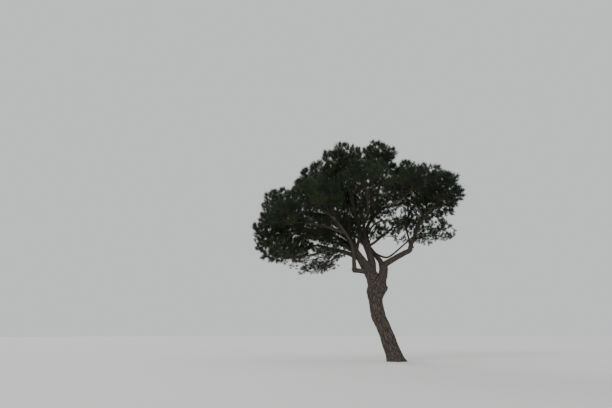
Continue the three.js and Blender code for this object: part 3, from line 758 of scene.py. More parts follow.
def bark_material():
    """Plates from the skin's own values, with painted shade in the furrows and at fine cracks, and a grain.
    """
    material, tree, shader = new_material("pine_bark")
    place = add_node(tree, "ShaderNodeAttribute", attribute_name="bark_place").outputs["Vector"]
    plate = add_node(tree, "ShaderNodeAttribute", attribute_name="plate").outputs["Fac"]
    tone = add_node(tree, "ShaderNodeAttribute", attribute_name="tone").outputs["Fac"]
    own = add_node(tree, "ShaderNodeTexCoord").outputs["Object"]
    mottle = noise(tree, place, MOTTLE)
    patches = calculate(tree, "MULTIPLY", mottle.outputs[0], TONE_SHARES[1])
    mixed = calculate(tree, "ADD", calculate(tree, "MULTIPLY", tone, TONE_SHARES[0]), patches)
    plates = colour_ramp(tree, mixed, PLATE_COLOURS)
    # painted shade: the colour runs to the darkest one in a furrow, and part way at a fine crack's edge; the
    # cracks also go into the bump
    edge = edge_distance(tree, bent_by(tree, mottle, place, CRACK["bend"]), CRACK["scale"])
    inputs = {"Value": edge, 2: CRACK["to"], 3: 1 - CRACK["dark"]}
    flake = add_node(tree, "ShaderNodeMapRange", inputs).outputs[0]
    inputs = {"Factor": calculate(tree, "MULTIPLY", plate, flake), 6: FURROW_PAINTED_SHADE, 7: plates}
    colour = add_node(tree, "ShaderNodeMix", inputs, data_type="RGBA").outputs[2]
    height = calculate(tree, "ADD", noise(tree, own, GRAIN).outputs[0], flake)
    inputs = {"Height": height, "Distance": GRAIN["height"], "Strength": GRAIN["strength"]}
    bump = add_node(tree, "ShaderNodeBump", inputs)
    tree.links.new(colour, shader.inputs["Base Color"])
    tree.links.new(bump.outputs[0], shader.inputs["Normal"])
    shader.inputs["Roughness"].default_value = BARK_ROUGHNESS
    shader.inputs["Specular IOR Level"].default_value = BARK_SPECULAR
    return material


bark = bark_material()
for wood, names in ((main_wood, ["trunk"] + thick_limbs), (side_wood, thin_limbs)):
    wood.data.materials.clear()
    wood.data.materials.append(bark)
    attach(wood, "root")
    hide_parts(*names)
print("bark on", main_wood.name, "and", side_wood.name)

# %% [markdown]
# ## The masses of foliage, as sizes
# Each mass is an egg-shaped space at the end of one limb. It keeps clear of its neighbours by a flat wall
# half way between them. Its sprays lie evenly under its surface, and its twigs fork again and again from
# one stem. Here the rule of the frame's source is written again, so that the clumps of needles come out
# where its solids are.

# %% Masses
MASSES = {
    "top_left_foliage": {
        "on": "stem", "centre": (-1.82, 0.15, 7.83), "half": (1.28, 1.65, 1.15), "seed": 353,
    },
    "top_right_foliage": {
        "on": "right_leader", "centre": (-0.56, -0.05, 7.88), "half": (1.02, 1.6, 1.1), "seed": 127,
    },
    "left_shoulder_foliage": {
        "on": "left_leader", "centre": (-2.91, -0.15, 7.02), "half": (1.15, 1.45, 1.12), "seed": 480,
    },
    "right_shoulder_foliage": {
        "on": "right_inner_limb", "centre": (0.5, 0.25, 7.26), "half": (1.08, 1.35, 1.04), "seed": 127,
    },
    "right_lobe_foliage": {
        "on": "right_limb_upper", "centre": (1.98, 0.1, 6.66), "half": (0.92, 1.2, 1.12), "seed": 401,
        "underside": -0.75,
    },
    "left_upper_foliage": {
        "on": "left_limb", "centre": (-4.64, 0.3, 6.37), "half": (0.88, 1.15, 0.78), "seed": 481,
    },
    "left_lobe_foliage": {
        "on": "left_side_limb", "centre": (-4.92, -0.15, 5.12), "half": (0.85, 1.25, 0.95), "seed": 425,
        "underside": -0.7,
    },
    "left_low_foliage": {
        "on": "low_left_limb", "centre": (-4.35, -0.35, 4.42), "half": (1.3, 1.08, 0.64), "seed": 422,
        "spacing": 0.7, "underside": -0.75,
    },
    "low_inner_foliage": {
        "on": "low_inner_limb", "centre": (-2.62, -0.95, 4.2), "half": (0.72, 0.6, 0.38), "seed": 108,
        "spacing": 0.57, "underside": -0.6,
    },
    "drooping_foliage": {
        "on": "drooping_limb", "centre": (-2.95, -0.6, 3.59), "half": (0.82, 0.62, 0.38), "seed": 19,
        "underside": -0.6,
    },
    "front_left_foliage": {
        "on": "elbow_limb_upper", "centre": (-2.95, -2.35, 6.05), "half": (1.25, 1.3, 0.95), "seed": 356,
    },
    "front_side_foliage": {
        "on": "front_side_limb", "centre": (-4.25, -1.6, 5.4), "half": (0.95, 1.15, 0.9), "seed": 391,
    },
    "back_foliage": {
        "on": "back_limb", "centre": (-1.45, 2.45, 6.95), "half": (1.35, 1.3, 1), "seed": 237,
        "spacing": 0.96, "underside": -0.5,
    },
    "low_back_foliage": {
        "on": "low_back_limb", "centre": (-1.8, 2.3, 6.15), "half": (1.05, 0.95, 0.62), "seed": 349,
        "spacing": 0.76, "underside": -0.7,
    },
    "back_left_foliage": {
        "on": "back_left_limb", "centre": (-3.15, 2.25, 6.45), "half": (1.2, 1.25, 0.95), "seed": 307,
        "underside": -0.6,
    },
    "far_back_foliage": {
        "on": "far_back_limb", "centre": (-4.4, 1.65, 5.9), "half": (0.9, 1.15, 0.95), "seed": 256,
        "underside": -0.5,
    },
    "low_far_foliage": {
        "on": "low_far_limb", "centre": (-3.18, 1.5, 5.23), "half": (0.78, 0.7, 0.42), "seed": 448,
        "spacing": 0.64, "underside": -0.5,
    },
    "front_foliage": {
        "on": "centre_leader", "centre": (-1.05, -2.45, 6.65), "half": (1.25, 1.3, 0.85), "seed": 120,
    },
    "front_right_foliage": {
        "on": "front_right_limb", "centre": (0.95, -2.05, 6.65), "half": (1.15, 1.2, 0.72), "seed": 100,
    },
    "back_right_foliage": {
        "on": "back_right_limb", "centre": (1.08, 1.95, 6.95), "half": (1.2, 1.2, 0.85), "seed": 115,
    },
    "right_inner_foliage": {
        "on": "cross_limb", "centre": (0.48, -0.34, 5.33), "half": (0.62, 0.52, 0.36), "seed": 259,
        "underside": -0.6,
    },
    "right_low_back_foliage": {
        "on": "low_cross_limb", "centre": (1.7, 0.82, 5.26), "half": (0.85, 0.7, 0.3), "seed": 233,
    },
    "right_low_foliage": {
        "on": "right_low_limb", "centre": (1.7, -0.46, 4.8), "half": (0.8, 0.6, 0.25), "seed": 338,
    },
    "right_middle_foliage": {
        "on": "right_middle_limb", "centre": (1.48, 0.85, 6.03), "half": (0.76, 0.68, 0.48), "seed": 442,
        "underside": -0.6,
    },
    "right_front_foliage": {
        "on": "right_front_limb", "centre": (2, -1.35, 6.45), "half": (0.78, 0.95, 0.8), "seed": 31,
        "underside": -0.5,
    },
}
print(len(MASSES), "masses")

# %% The space of a mass
MASS_GAP = 0.008  # half the gap between the spaces of two masses
SEED_SPREAD = 7919
TIMES, PLUS, BELOW = 1664525, 1013904223, 2**32  # of a linear congruential generator


def seeded(seed):
    """The same run of numbers from 0 to 1 each time, for one seed."""
    state = seed * SEED_SPREAD
    while True:
        state = (state * TIMES + PLUS) % BELOW
        yield state / BELOW


def space_of(name):
    """A mass's centre and half sizes, and the walls that part it from the masses that it would meet."""
    mass = MASSES[name]
    centre, half = np.array(mass["centre"], float), np.array(mass["half"], float)
    normals, aways = [], []
    for other, its in MASSES.items():
        if other == name:
            continue
        between = np.array(its["centre"]) - centre
        apart = np.linalg.norm(between)
        normal = between / apart
        mine, theirs = np.linalg.norm(half * normal), np.linalg.norm(its["half"] * normal)
        if mine + theirs > apart:
            normals.append(normal)
            aways.append(apart * mine / (mine + theirs) - MASS_GAP)
    normals = np.array(normals).reshape(-1, 3)
    return {"centre": centre, "half": half, "normals": normals, "aways": np.array(aways)}


def inside_space(space, points, margin, swell=1.0):
    """Whether each point is in the space, at least the margin from its walls."""
    local = np.atleast_2d(points) - space["centre"]
    behind = (local @ space["normals"].T <= space["aways"] - margin).all(1)
    return behind & (np.linalg.norm(local / space["half"], axis=1) <= swell)


EGG_CENTRES = np.array([mass["centre"] for mass in MASSES.values()])
EGG_HALVES = np.array([mass["half"] for mass in MASSES.values()])


def inside_crown(points, swell):
    """Whether each point is in the egg of any mass, or straight under one."""
    local = (np.atleast_2d(points)[:, None] - EGG_CENTRES) / EGG_HALVES
    local[..., 2] = np.maximum(local[..., 2], 0)
    return (np.linalg.norm(local, axis=-1) <= swell).any(1)


print("walls of the top left mass:", len(space_of("top_left_foliage")["aways"]))

# %% Clear of the limbs
LIMB_GAP = 0.012  # a twig or spray nearer to a limb than this is left out


def limb_stretches():
    """Every straight stretch between two rings of a limb: start, end and thickness."""
    starts, ends, radii = [], [], []
    for axis in AXES.values():
        shares = np.linspace(0, 1, axis["rings"] + 1)
        points = point_at(axis, shares)
        starts.append(points[:-1])
        ends.append(points[1:])
        radii.append(radius_at(axis, shares)[:-1])
    return np.vstack(starts), np.vstack(ends), np.hstack(radii)


STRETCHES = limb_stretches()


def touches_limb(a, b, radius):
    """Whether a straight twig from a to b would touch any limb."""
    c, d, thickness = STRETCHES
    u, v, w = b - a, d - c, a - c
    uu, uv, vv = u @ u, v @ u, (v * v).sum(1)
    uw, vw = w @ u, (v * w).sum(1)
    flat = uu * vv - uv * uv
    slanted = flat > 1e-6 * uu * vv
    s = np.where(slanted, np.clip((uv * vw - vv * uw) / np.where(slanted, flat, 1), 0, 1), 0)
    t = np.clip((uv * s + vw) / vv, 0, 1)
    again = np.clip((uv * t - uw) / uu, 0, 1) if uu > 0 else 0 * t
    gaps = np.linalg.norm(a + again[:, None] * u - (c + t[:, None] * v), axis=1)
    return bool((gaps < radius + thickness + LIMB_GAP).any())


print(len(STRETCHES[2]), "stretches of limb")

# %% [markdown]
# ## Sprays
# A spray is a leafy branch end. Its solid in the frame is a ring of teeth round a leading tip. The points
# of that solid decide whether the spray fits its space, so they are worked out here too, and the same
# sprays come out.

# %% Where the sprays go
SPRAY_LENGTH = 0.78
SPRAY_SPACING = 0.89
SPRAY_SPACING_SHARE = 0.88  # of the mean half size, where a mass is small
SPRAY_SCALES = (1, 0.85, 0.7, 0.55)  # tried in turn, until the spray fits
CROWDED_SHARE = 0.35  # of the spacing; two roots are no nearer than this
SURFACE_SHARE = 0.99
SHARED_SHARE = 0.75  # of the reach; here the way to a spray's tip is still behind the walls
SPRAY_TEETH = 4
TOOTH = (0.66, 0.44)  # forward and out, as shares of the spray's length
NOTCH = (0.44, 0.15)
SPRAY_DEPTH = 0.1  # how far a tip may lie under the surface, as a share of the mass
SPRAY_LIFT = (0.25, 0.3)  # how much the aim is lifted: always, and at most besides
SPRAY_TWIST = 2  # of the ring of teeth, in radians, at most
TALLEST_SPRAY = 1.5  # a spray is no longer than this, in half heights of the mass
UPRIGHT = 0.1  # an aim less slanted than this takes X for its side
WALL_MARGIN = 0.001
HUB_MARGIN = 0.075  # between a spray's root and the walls
OPEN_UNDERSIDE = -0.25  # no spray is lower than this in its mass, from -1 to 1
GOLDEN_ANGLE = math.pi * (3 - math.sqrt(5))
UP = np.array([0, 0, 1.0])


def spray_points(spray):
    """The ring of teeth and notches, and the tip."""
    aim, length = spray["aim"], spray["length"]
    side = np.cross(UP, aim)
    side = unit(side) if np.linalg.norm(side) >= UPRIGHT else np.array([1.0, 0, 0])
    up = np.cross(aim, side)
    points = []
    for i in range(2 * SPRAY_TEETH):
        angle = spray["turn"] + math.pi * i / SPRAY_TEETH
        forward, out = NOTCH if i % 2 else TOOTH
        points.append(forward * aim + out * (side * math.cos(angle) + up * math.sin(angle)))
    return spray["root"] + length * np.array(points + [aim])


def moved_inside(space, spray):
    """A spray that stands past a wall of its space, moved back behind each wall in turn."""
    moved = dict(spray)
    for normal, away in zip(space["normals"], space["aways"]):
        past = ((spray_points(moved) - space["centre"]) @ normal).max() - away
        if past > 0:
            moved["root"] = moved["root"] - normal * (past + WALL_MARGIN)
    return moved


def spray_is_clear(space, spray):
    points = spray_points(spray)
    if not inside_space(space, spray["root"], HUB_MARGIN)[0] or not inside_space(space, points, 0).all():
        return False
    return not any(touches_limb(spray["root"], point, 0) for point in points)


def spray_goals(name, space, draw):
    """Where the sprays of a mass go: even over its space, where it meets the air, pointing out and up."""
    mean = float(np.cbrt(space["half"].prod()))
    spacing = MASSES[name].get("spacing", min(SPRAY_SPACING, SPRAY_SPACING_SHARE * mean))
    count = math.ceil(4 * math.pi * mean**2 / spacing**2)
    start = next(draw) * 2 * math.pi
    goals = []
    for i in range(count):
        lean, deep, turn = next(draw), next(draw), next(draw)
        height = 1 - 2 * (i + 0.5) / count
        if height < MASSES[name].get("underside", OPEN_UNDERSIDE):
            continue
        level = math.sqrt(1 - height**2)
        angle = start + i * GOLDEN_ANGLE
        out = np.array([level * math.cos(angle), level * math.sin(angle), height])
        reach = out * space["half"] * (SURFACE_SHARE - SPRAY_DEPTH * deep)
        if not inside_space(space, reach * SHARED_SHARE + space["centre"], 0)[0]:
            continue
        aim = unit(out + UP * (SPRAY_LIFT[0] + SPRAY_LIFT[1] * lean))
        for scale in SPRAY_SCALES:
            length = min(SPRAY_LENGTH, TALLEST_SPRAY * space["half"][2]) * scale
            root = reach + space["centre"] - aim * length
            spray = {"root": root, "aim": aim, "turn": turn * SPRAY_TWIST, "length": length}
            spray = moved_inside(space, spray)
            crowded = any(np.linalg.norm(g["root"] - spray["root"]) < CROWDED_SHARE * spacing for g in goals)
            if not crowded and spray_is_clear(space, spray):
                goals.append(spray)
                break
    return goals


# %% [markdown]
# ## Twigs
# From the stem, half of the sprays are served by going on along the twig, and the other half by a new,
# thinner one that leaves it there. Each half is parted again across its widest side, until one spray is
# left. The forks are kept as a list of places, each with the place it grows from.

# %% How the twigs fork
TWIG_RADIUS = 0.013  # where a twig enters its spray
TWIG_ADVANCE = 0.36  # how far a twig runs towards its sprays before it forks
LAST_ADVANCE = 0.3  # and how much further where it serves few of them, shared among them
TWIG_WANDER = 0.12  # how far a fork strays, as a share of the way to its sprays
TWIG_TAPER = 0.6  # under 1, a twig thins slowly as it serves fewer sprays
STEM_GAP = 0.0003  # between the limb's tip and the mass
STEM_SHARE = 0.92  # thickness of a mass's stem against the tip that it meets
STEM_REACH = (0.06, 1.6)  # length before the first fork: fixed, and in radii
STEM_TAPER = 0.9
SIDE_TWIG_SHARE = 0.55  # thickness of a side twig against the one that carries it


def grow_twigs(name, goals, draw):
    """Forks of a mass, and for each spray that it keeps, the fork that it grows from."""
    axis = AXES[MASSES[name]["on"]]
    along = along_at(axis, np.array([1.0]))[0]
    root = point_at(axis, 1.0) + along * STEM_GAP
    stem_radius = float(radius_at(axis, 1.0)) * STEM_SHARE
    entry = root + along * (STEM_REACH[0] + STEM_REACH[1] * stem_radius)
    forks = [
        {"point": root - along * 2 * stem_radius, "radius": stem_radius, "from": None},
        {"point": entry, "radius": stem_radius * STEM_TAPER, "from": 0},
    ]
    served = []

    def radius_for(count):
        load = (count - 1) / max(1, len(goals) - 1)
        return TWIG_RADIUS + (stem_radius - TWIG_RADIUS) * load**TWIG_TAPER

    def part(here, group_here, thickness_here):
        hub = forks[here]
        roots = np.array([goal["root"] for goal in group_here])
        widest = int(np.argmax(roots.max(0) - roots.min(0)))
        order = np.argsort(roots[:, widest], kind="stable")
        middle = math.ceil(len(order) / 2)
        for i, chosen in enumerate((order[:middle], order[middle:])):
            if len(chosen) == 0:
                continue
            group = [group_here[k] for k in chosen]
            wander = np.array([next(draw), next(draw), next(draw)]) - 0.5
            side_thickness = min(thickness_here, radius_for(len(group))) * SIDE_TWIG_SHARE
            thickness = thickness_here if i == 0 else side_thickness
            if len(group) == 1:
                if not touches_limb(hub["point"], group[0]["root"], thickness):
                    served.append((group[0], here, thickness))
                continue
            centre = np.mean([goal["root"] for goal in group], axis=0)
            advance = TWIG_ADVANCE + LAST_ADVANCE / len(group)
            point = hub["point"] + (centre - hub["point"]) * advance
            point = point + wander * TWIG_WANDER * np.linalg.norm(hub["point"] - centre)
            if touches_limb(hub["point"], point, thickness):
                continue
            thickness = min(thickness, radius_for(len(group)))
            forks.append({"point": point, "radius": thickness, "from": here})
            part(len(forks) - 1, group, thickness)

    part(1, goals, stem_radius * STEM_TAPER)
    return forks, served


def grow_mass(name):
    space = space_of(name)
    draw = seeded(MASSES[name]["seed"])
    goals = spray_goals(name, space, draw)
    forks, served = grow_twigs(name, goals, draw)
    return {"space": space, "forks": forks, "served": served}


grown = {name: grow_mass(name) for name in MASSES}
print("sprays", {name: len(mass["served"]) for name, mass in grown.items()})
print("in all", sum(len(mass["served"]) for mass in grown.values()))

# %% [markdown]
# ## Lines of wood through the forks
# Each spray gets one line, from the last fork that another line has already passed. So the thick stem of a
# mass is one line from end to end, and each thinner twig starts inside the one that carries it. The line
# goes on into the spray as its main shoot, and a smooth curve through its points takes the kinks out of it.

# %% Lines
SHOOT_RADIUS = 0.005  # at the end of a shoot
SIDE_START = 1.3  # a twig's root is at most this many times as thick as its next point
MAIN_SHOOT = (0, 0.5, 0.93)  # places of the main shoot's points, as shares of the spray
SHOOT_MIDDLE = 0.7  # thickness half way along the main shoot, in twig radii
THINNEST_SHARE = 0.8  # no line is thinner than this share of a shoot's end
FLAT_ENOUGH = 0.9  # a line that rises more steeply than this takes X for its side
RINGS_PER_SPAN = 2


def twig_lines(mass):
    """For each spray of a mass: its line's points and radii. The last two spans lie in the spray."""
    passed = set()
    lines = []
    for spray, fork, thickness in mass["served"]:
        chain = [fork]
        while chain[-1] not in passed and mass["forks"][chain[-1]]["from"] is not None:
            chain.append(mass["forks"][chain[-1]]["from"])
        on_another = chain[-1] in passed
        passed.update(chain)
        chain.reverse()
        points = [mass["forks"][k]["point"] for k in chain]
        radii = [mass["forks"][k]["radius"] for k in chain]
        for share in MAIN_SHOOT:
            points.append(spray["root"] + spray["aim"] * spray["length"] * share)
        radii += [min(thickness, TWIG_RADIUS), SHOOT_MIDDLE * TWIG_RADIUS, SHOOT_RADIUS]
        if on_another:
            radii[0] = min(radii[0], SIDE_START * radii[1])
        lines.append((np.array(points), np.array(radii)))
    return lines


def tube(points, radii, sides):
    """Points and triangles of a closed tube along a line."""
    along = unit(np.gradient(points, axis=0))
    side = unit(np.cross(along[0], UP if abs(along[0][2]) < FLAT_ENOUGH else (1, 0, 0)))
    rings = []
    for point, radius, direction in zip(points, radii, along):
        side = unit(side - direction * (side @ direction))
        up = np.cross(direction, side)
        angles = 2 * np.pi * np.arange(sides)[:, None] / sides
        rings.append(point + radius * (np.cos(angles) * side + np.sin(angles) * up))
    return np.vstack(rings), tube_faces(len(points), sides)


def tube_faces(rings, sides):
    """Triangles of a closed tube of rings, from its first ring to its last, with both ends filled."""
    faces = []
    for i in range(rings - 1):
        for k in range(sides):
            a, b = i * sides + k, i * sides + (k + 1) % sides
            faces += [(a, b, b + sides), (a, b + sides, a + sides)]
    last = (rings - 1) * sides
    for k in range(1, sides - 1):
        faces += [(0, k + 1, k), (last, last + k, last + k + 1)]
    return np.array(faces)


def smooth_tube(points, radii, sides):
    shares = np.linspace(0, 1, (len(points) - 1) * RINGS_PER_SPAN + 1)
    thick = np.maximum(smooth_through(radii[:, None], shares)[:, 0], SHOOT_RADIUS * THINNEST_SHARE)
    return tube(smooth_through(points, shares), thick, sides)


# %% [markdown]
# ## Shoots
# Inside a spray, side shoots leave the main shoot all round it, each a golden angle on from the last, and
# each forks once. They are longest three fifths of the way out, like the teeth of the spray's solid. Shoots
# turn up to the light, and few hang below, so a spray is flatter underneath. Every shoot ends in a tuft of
# needles.

# %% Shoots of a spray
SIDE_SHOOTS = 13  # on a spray of full length, each with a twin from its fork
SHOOT_REACH = 0.48  # of the longest side shoot's end, from the main shoot, as a share of the spray's length
SHOOT_FORK = 0.5  # share of a side shoot where it forks
THIN_MASSES = {  # share of the shoots in the masses that the sky shows through
    "drooping_foliage": 0.5, "low_inner_foliage": 0.7, "right_low_back_foliage": 0.4,
    "right_low_foliage": 0.4, "right_inner_foliage": 0.7, "right_middle_foliage": 0.85,
}
SHOOT_LOSS = 1.2  # over 1, a short spray has fewer shoots for its length
SHOOT_PLACE = {"first": 0.22, "span": 0.72, "twin": 0.08, "stray": 0.05}  # shares of the spray's length
SHOOT_ROUND = {"twin": 0.75, "stray": 0.4}  # round the main shoot, in radians
SHOOT_BULGE = 1.3  # over 1, the longest side shoots are nearer to the tip
SHOOT_SHARES = (0.62, 0.38)  # of the reach: at least, and by chance
SHORTEST_REACH = 0.1
SHOOT_HANG = 0.55  # of the way down that is left to a shoot that points down
SHOOT_RISE = 0.25  # of its end, in reaches
SHOOT_SLANT = (0.85, 0.05)  # how far back a shoot starts, in reaches, and the first place for a start
SHOOT_SAG = 0.06  # of its middle, as a share of its length
TUFT_UP, TUFT_AHEAD = 0.35, 0.25  # how much a tuft is turned up, and along the spray
SHOOT_ROOM = (-0.02, 1.03)  # margin from the walls, and swell of the egg, for a shoot's end
LOWEST_SHOOT = 0.5
SHOOT_TAPER = (1.5, 1.2, 0.9)  # radii of its three rings, in radii of a shoot's end
SHOOT_SIDES = 3
ODD_WAY = (0.3, 0.5, 0.81)  # hardly any shoot runs this way


def shoot_spread(spray, share_kept, random):
    """For each side shoot: place along the spray, turn round it, reach, and whether it is a twin."""
    count = max(2, round(SIDE_SHOOTS * share_kept * (spray["length"] / SPRAY_LENGTH) ** SHOOT_LOSS))
    index = np.arange(2 * count) // 2
    twin = np.arange(2 * count) % 2
    share = SHOOT_PLACE["first"] + SHOOT_PLACE["span"] * (index + 0.5) / count + SHOOT_PLACE["twin"] * twin
    share = share + SHOOT_PLACE["stray"] * (random.random(2 * count) - 0.5)
    turn = spray["turn"] + GOLDEN_ANGLE * index + SHOOT_ROUND["twin"] * twin
    turn = turn + SHOOT_ROUND["stray"] * random.random(2 * count)
    bulge = np.sin(np.pi * np.clip(share, 0, 1) ** SHOOT_BULGE)
    reach = SHOOT_REACH * bulge * (SHOOT_SHARES[0] + SHOOT_SHARES[1] * random.random(2 * count))
    return share, turn, np.maximum(reach, SHORTEST_REACH), twin


def spray_shoots(line, spray, space, share_kept, random):
    """Lines of three points for the side shoots of a spray, and the end and direction of every tuft."""
    spans = len(line) - 1

    def axis_at(share):
        return smooth_through(line, (spans - 2 + 2 * np.clip(share, 0, 1)) / spans)

    aim, length = spray["aim"], spray["length"]
    side = unit(np.cross(UP, aim) + 1e-6)
    up = np.cross(aim, side)
    share, turn, reach, twin = shoot_spread(spray, share_kept, random)
    out = np.cos(turn)[:, None] * side + np.sin(turn)[:, None] * up
    out[:, 2] = np.where(out[:, 2] < 0, SHOOT_HANG * out[:, 2], out[:, 2])
    ends = axis_at(share) + length * reach[:, None] * (out + SHOOT_RISE * UP)
    bases = axis_at(np.maximum(share - SHOOT_SLANT[0] * reach, SHOOT_SLANT[1]))
    second = np.flatnonzero(twin)
    carrier = bases[second - 1]
    bases[second] = SHOOT_FORK * (ends[second - 1] - carrier) + carrier
    middles = (bases + ends) / 2 - SHOOT_SAG * np.linalg.norm(ends - bases, axis=1)[:, None] * UP
    ways = unit(unit(ends - middles) + TUFT_UP * UP + TUFT_AHEAD * aim)
    kept = inside_space(space, ends, *SHOOT_ROOM) & (ends[:, 2] > LOWEST_SHOOT)
    kept[second] &= kept[second - 1]
    shoots = np.stack([bases, middles, ends], 1)[kept]
    tips = np.vstack([ends[kept], line[-1]])
    return shoots, tips, np.vstack([ways[kept], aim])


def shoot_tubes(shoots):
    """Closed tubes along many lines of three points at once."""
    if len(shoots) == 0:
        return np.zeros((0, 3)), np.zeros((0, 3), int)
    first, middle, last = shoots[:, 0], shoots[:, 1], shoots[:, 2]
    along = unit(np.stack([middle - first, last - first, last - middle], 1))
    start = unit(np.cross(along[:, 1], ODD_WAY))[:, None]
    side = unit(start - along * (start * along).sum(-1, keepdims=True))
    up = np.cross(along, side)
    radii = SHOOT_RADIUS * np.array(SHOOT_TAPER)[None, :, None, None]
    angles = (2 * np.pi * np.arange(SHOOT_SIDES) / SHOOT_SIDES)[None, None, :, None]
    outward = np.cos(angles) * side[:, :, None] + np.sin(angles) * up[:, :, None]
    rings = shoots[:, :, None] + radii * outward
    faces = tube_faces(len(SHOOT_TAPER), SHOOT_SIDES)
    starts = len(SHOOT_TAPER) * SHOOT_SIDES * np.arange(len(shoots))
    return rings.reshape(-1, 3), (faces[None] + starts[:, None, None]).reshape(-1, 3)


# %% [markdown]
# ## Filling the crown
# Sprays that lie only under the surface of a mass leave holes where two masses meet and where the sky shows
# under a spray. A real tree sends a short branch to any place with light. So points are thrown into the
# space of the mass, outermost first, and each one that is far from every tuft gets a small spray on a twig
# from the nearest wood.

# %% Small sprays
FILL_THROWS = 2400
FILL_GAP = 0.22  # a place with no tuft nearer than this is filled
FILL_LENGTH = 0.42
FILL_SHARE = 0.42  # of the shoots that a large spray of this length would have
FILL_REACH = 1.1  # longest twig to a small spray
FILL_SWELL = 0.95  # its end stays inside this share of the mass's space
FILL_TWIG = (0.008, 0.007, 0.006, 0.006, SHOOT_RADIUS)  # radii along its line
FILL_SHELL = (0.2, 0.93)  # places lie between these shares of the mass
FILL_UNDERSIDE = 0.9  # of the lowest place for a spray
FILL_MARGIN = 0.03  # between a place and the walls
FILL_OUT, FILL_UP = 0.8, 0.5  # how much a small spray is turned out of the mass, and up
FILL_FOOT = 0.4  # how far it starts behind its place, as a share of its length
FILL_STRAY = 0.08  # of the twig's middle
FILL_TURN = 6  # in radians, at most


def thrown_places(space, underside, random):
    """Places in a mass's space, from the outermost to the innermost."""
    local = random.random((FILL_THROWS, 3)) * 2 - 1
    far = np.linalg.norm(local, axis=1)
    local = local[(far > FILL_SHELL[0]) & (far < FILL_SHELL[1])]
    local = local[local[:, 2] > underside * FILL_UNDERSIDE]
    local = local[np.argsort(-np.linalg.norm(local, axis=1))]
    places = space["centre"] + space["half"] * local
    return places[inside_space(space, places, FILL_MARGIN)]


def fill_lines(name, mass, tips, random):
    """A line and a spray for each small spray of a mass."""
    space = mass["space"]
    forks = [fork["point"] for fork in mass["forks"][1:]]
    wood = np.array(forks + [spray["root"] for spray, _, _ in mass["served"]])
    filled = [np.asarray(tip) for tip in tips]
    made = []
    for place in thrown_places(space, MASSES[name].get("underside", OPEN_UNDERSIDE), random):
        if np.linalg.norm(np.array(filled) - place, axis=1).min() < FILL_GAP:
            continue
        off = place - wood
        cost = np.linalg.norm(off, axis=1) + np.maximum(-off[:, 2], 0)
        start = wood[cost.argmin()]
        out = unit(place - space["centre"])
        aim = unit(unit(place - start) + FILL_OUT * out + FILL_UP * UP)
        root = place - aim * FILL_LENGTH * FILL_FOOT
        if np.linalg.norm(root - start) > FILL_REACH or touches_limb(start, root, FILL_TWIG[0]):
            continue
        bend = start + 0.5 * (root - start) + FILL_STRAY * (random.random(3) - 0.5)
        points = [start, bend] + [root + aim * share * FILL_LENGTH for share in MAIN_SHOOT]
        if not inside_space(space, points[-1], 0, FILL_SWELL)[0]:
            continue
        spray = {"root": root, "aim": aim, "turn": FILL_TURN * random.random(), "length": FILL_LENGTH}
        made.append((np.array(points), spray))
        filled += [place, points[-1]]
    return made


# %% [markdown]
# ## Lace under the crown
# Under the dense masses the limbs carry a fine lace of slender boughs and twigs, with small tufts, and the
# sky shows through it. The slender boughs are drawn like the limbs, each from one limb through some
# points. Then side twigs leave each bough and the outer part of most limbs, a golden angle on from the
# last, each with a few shoots of its own.

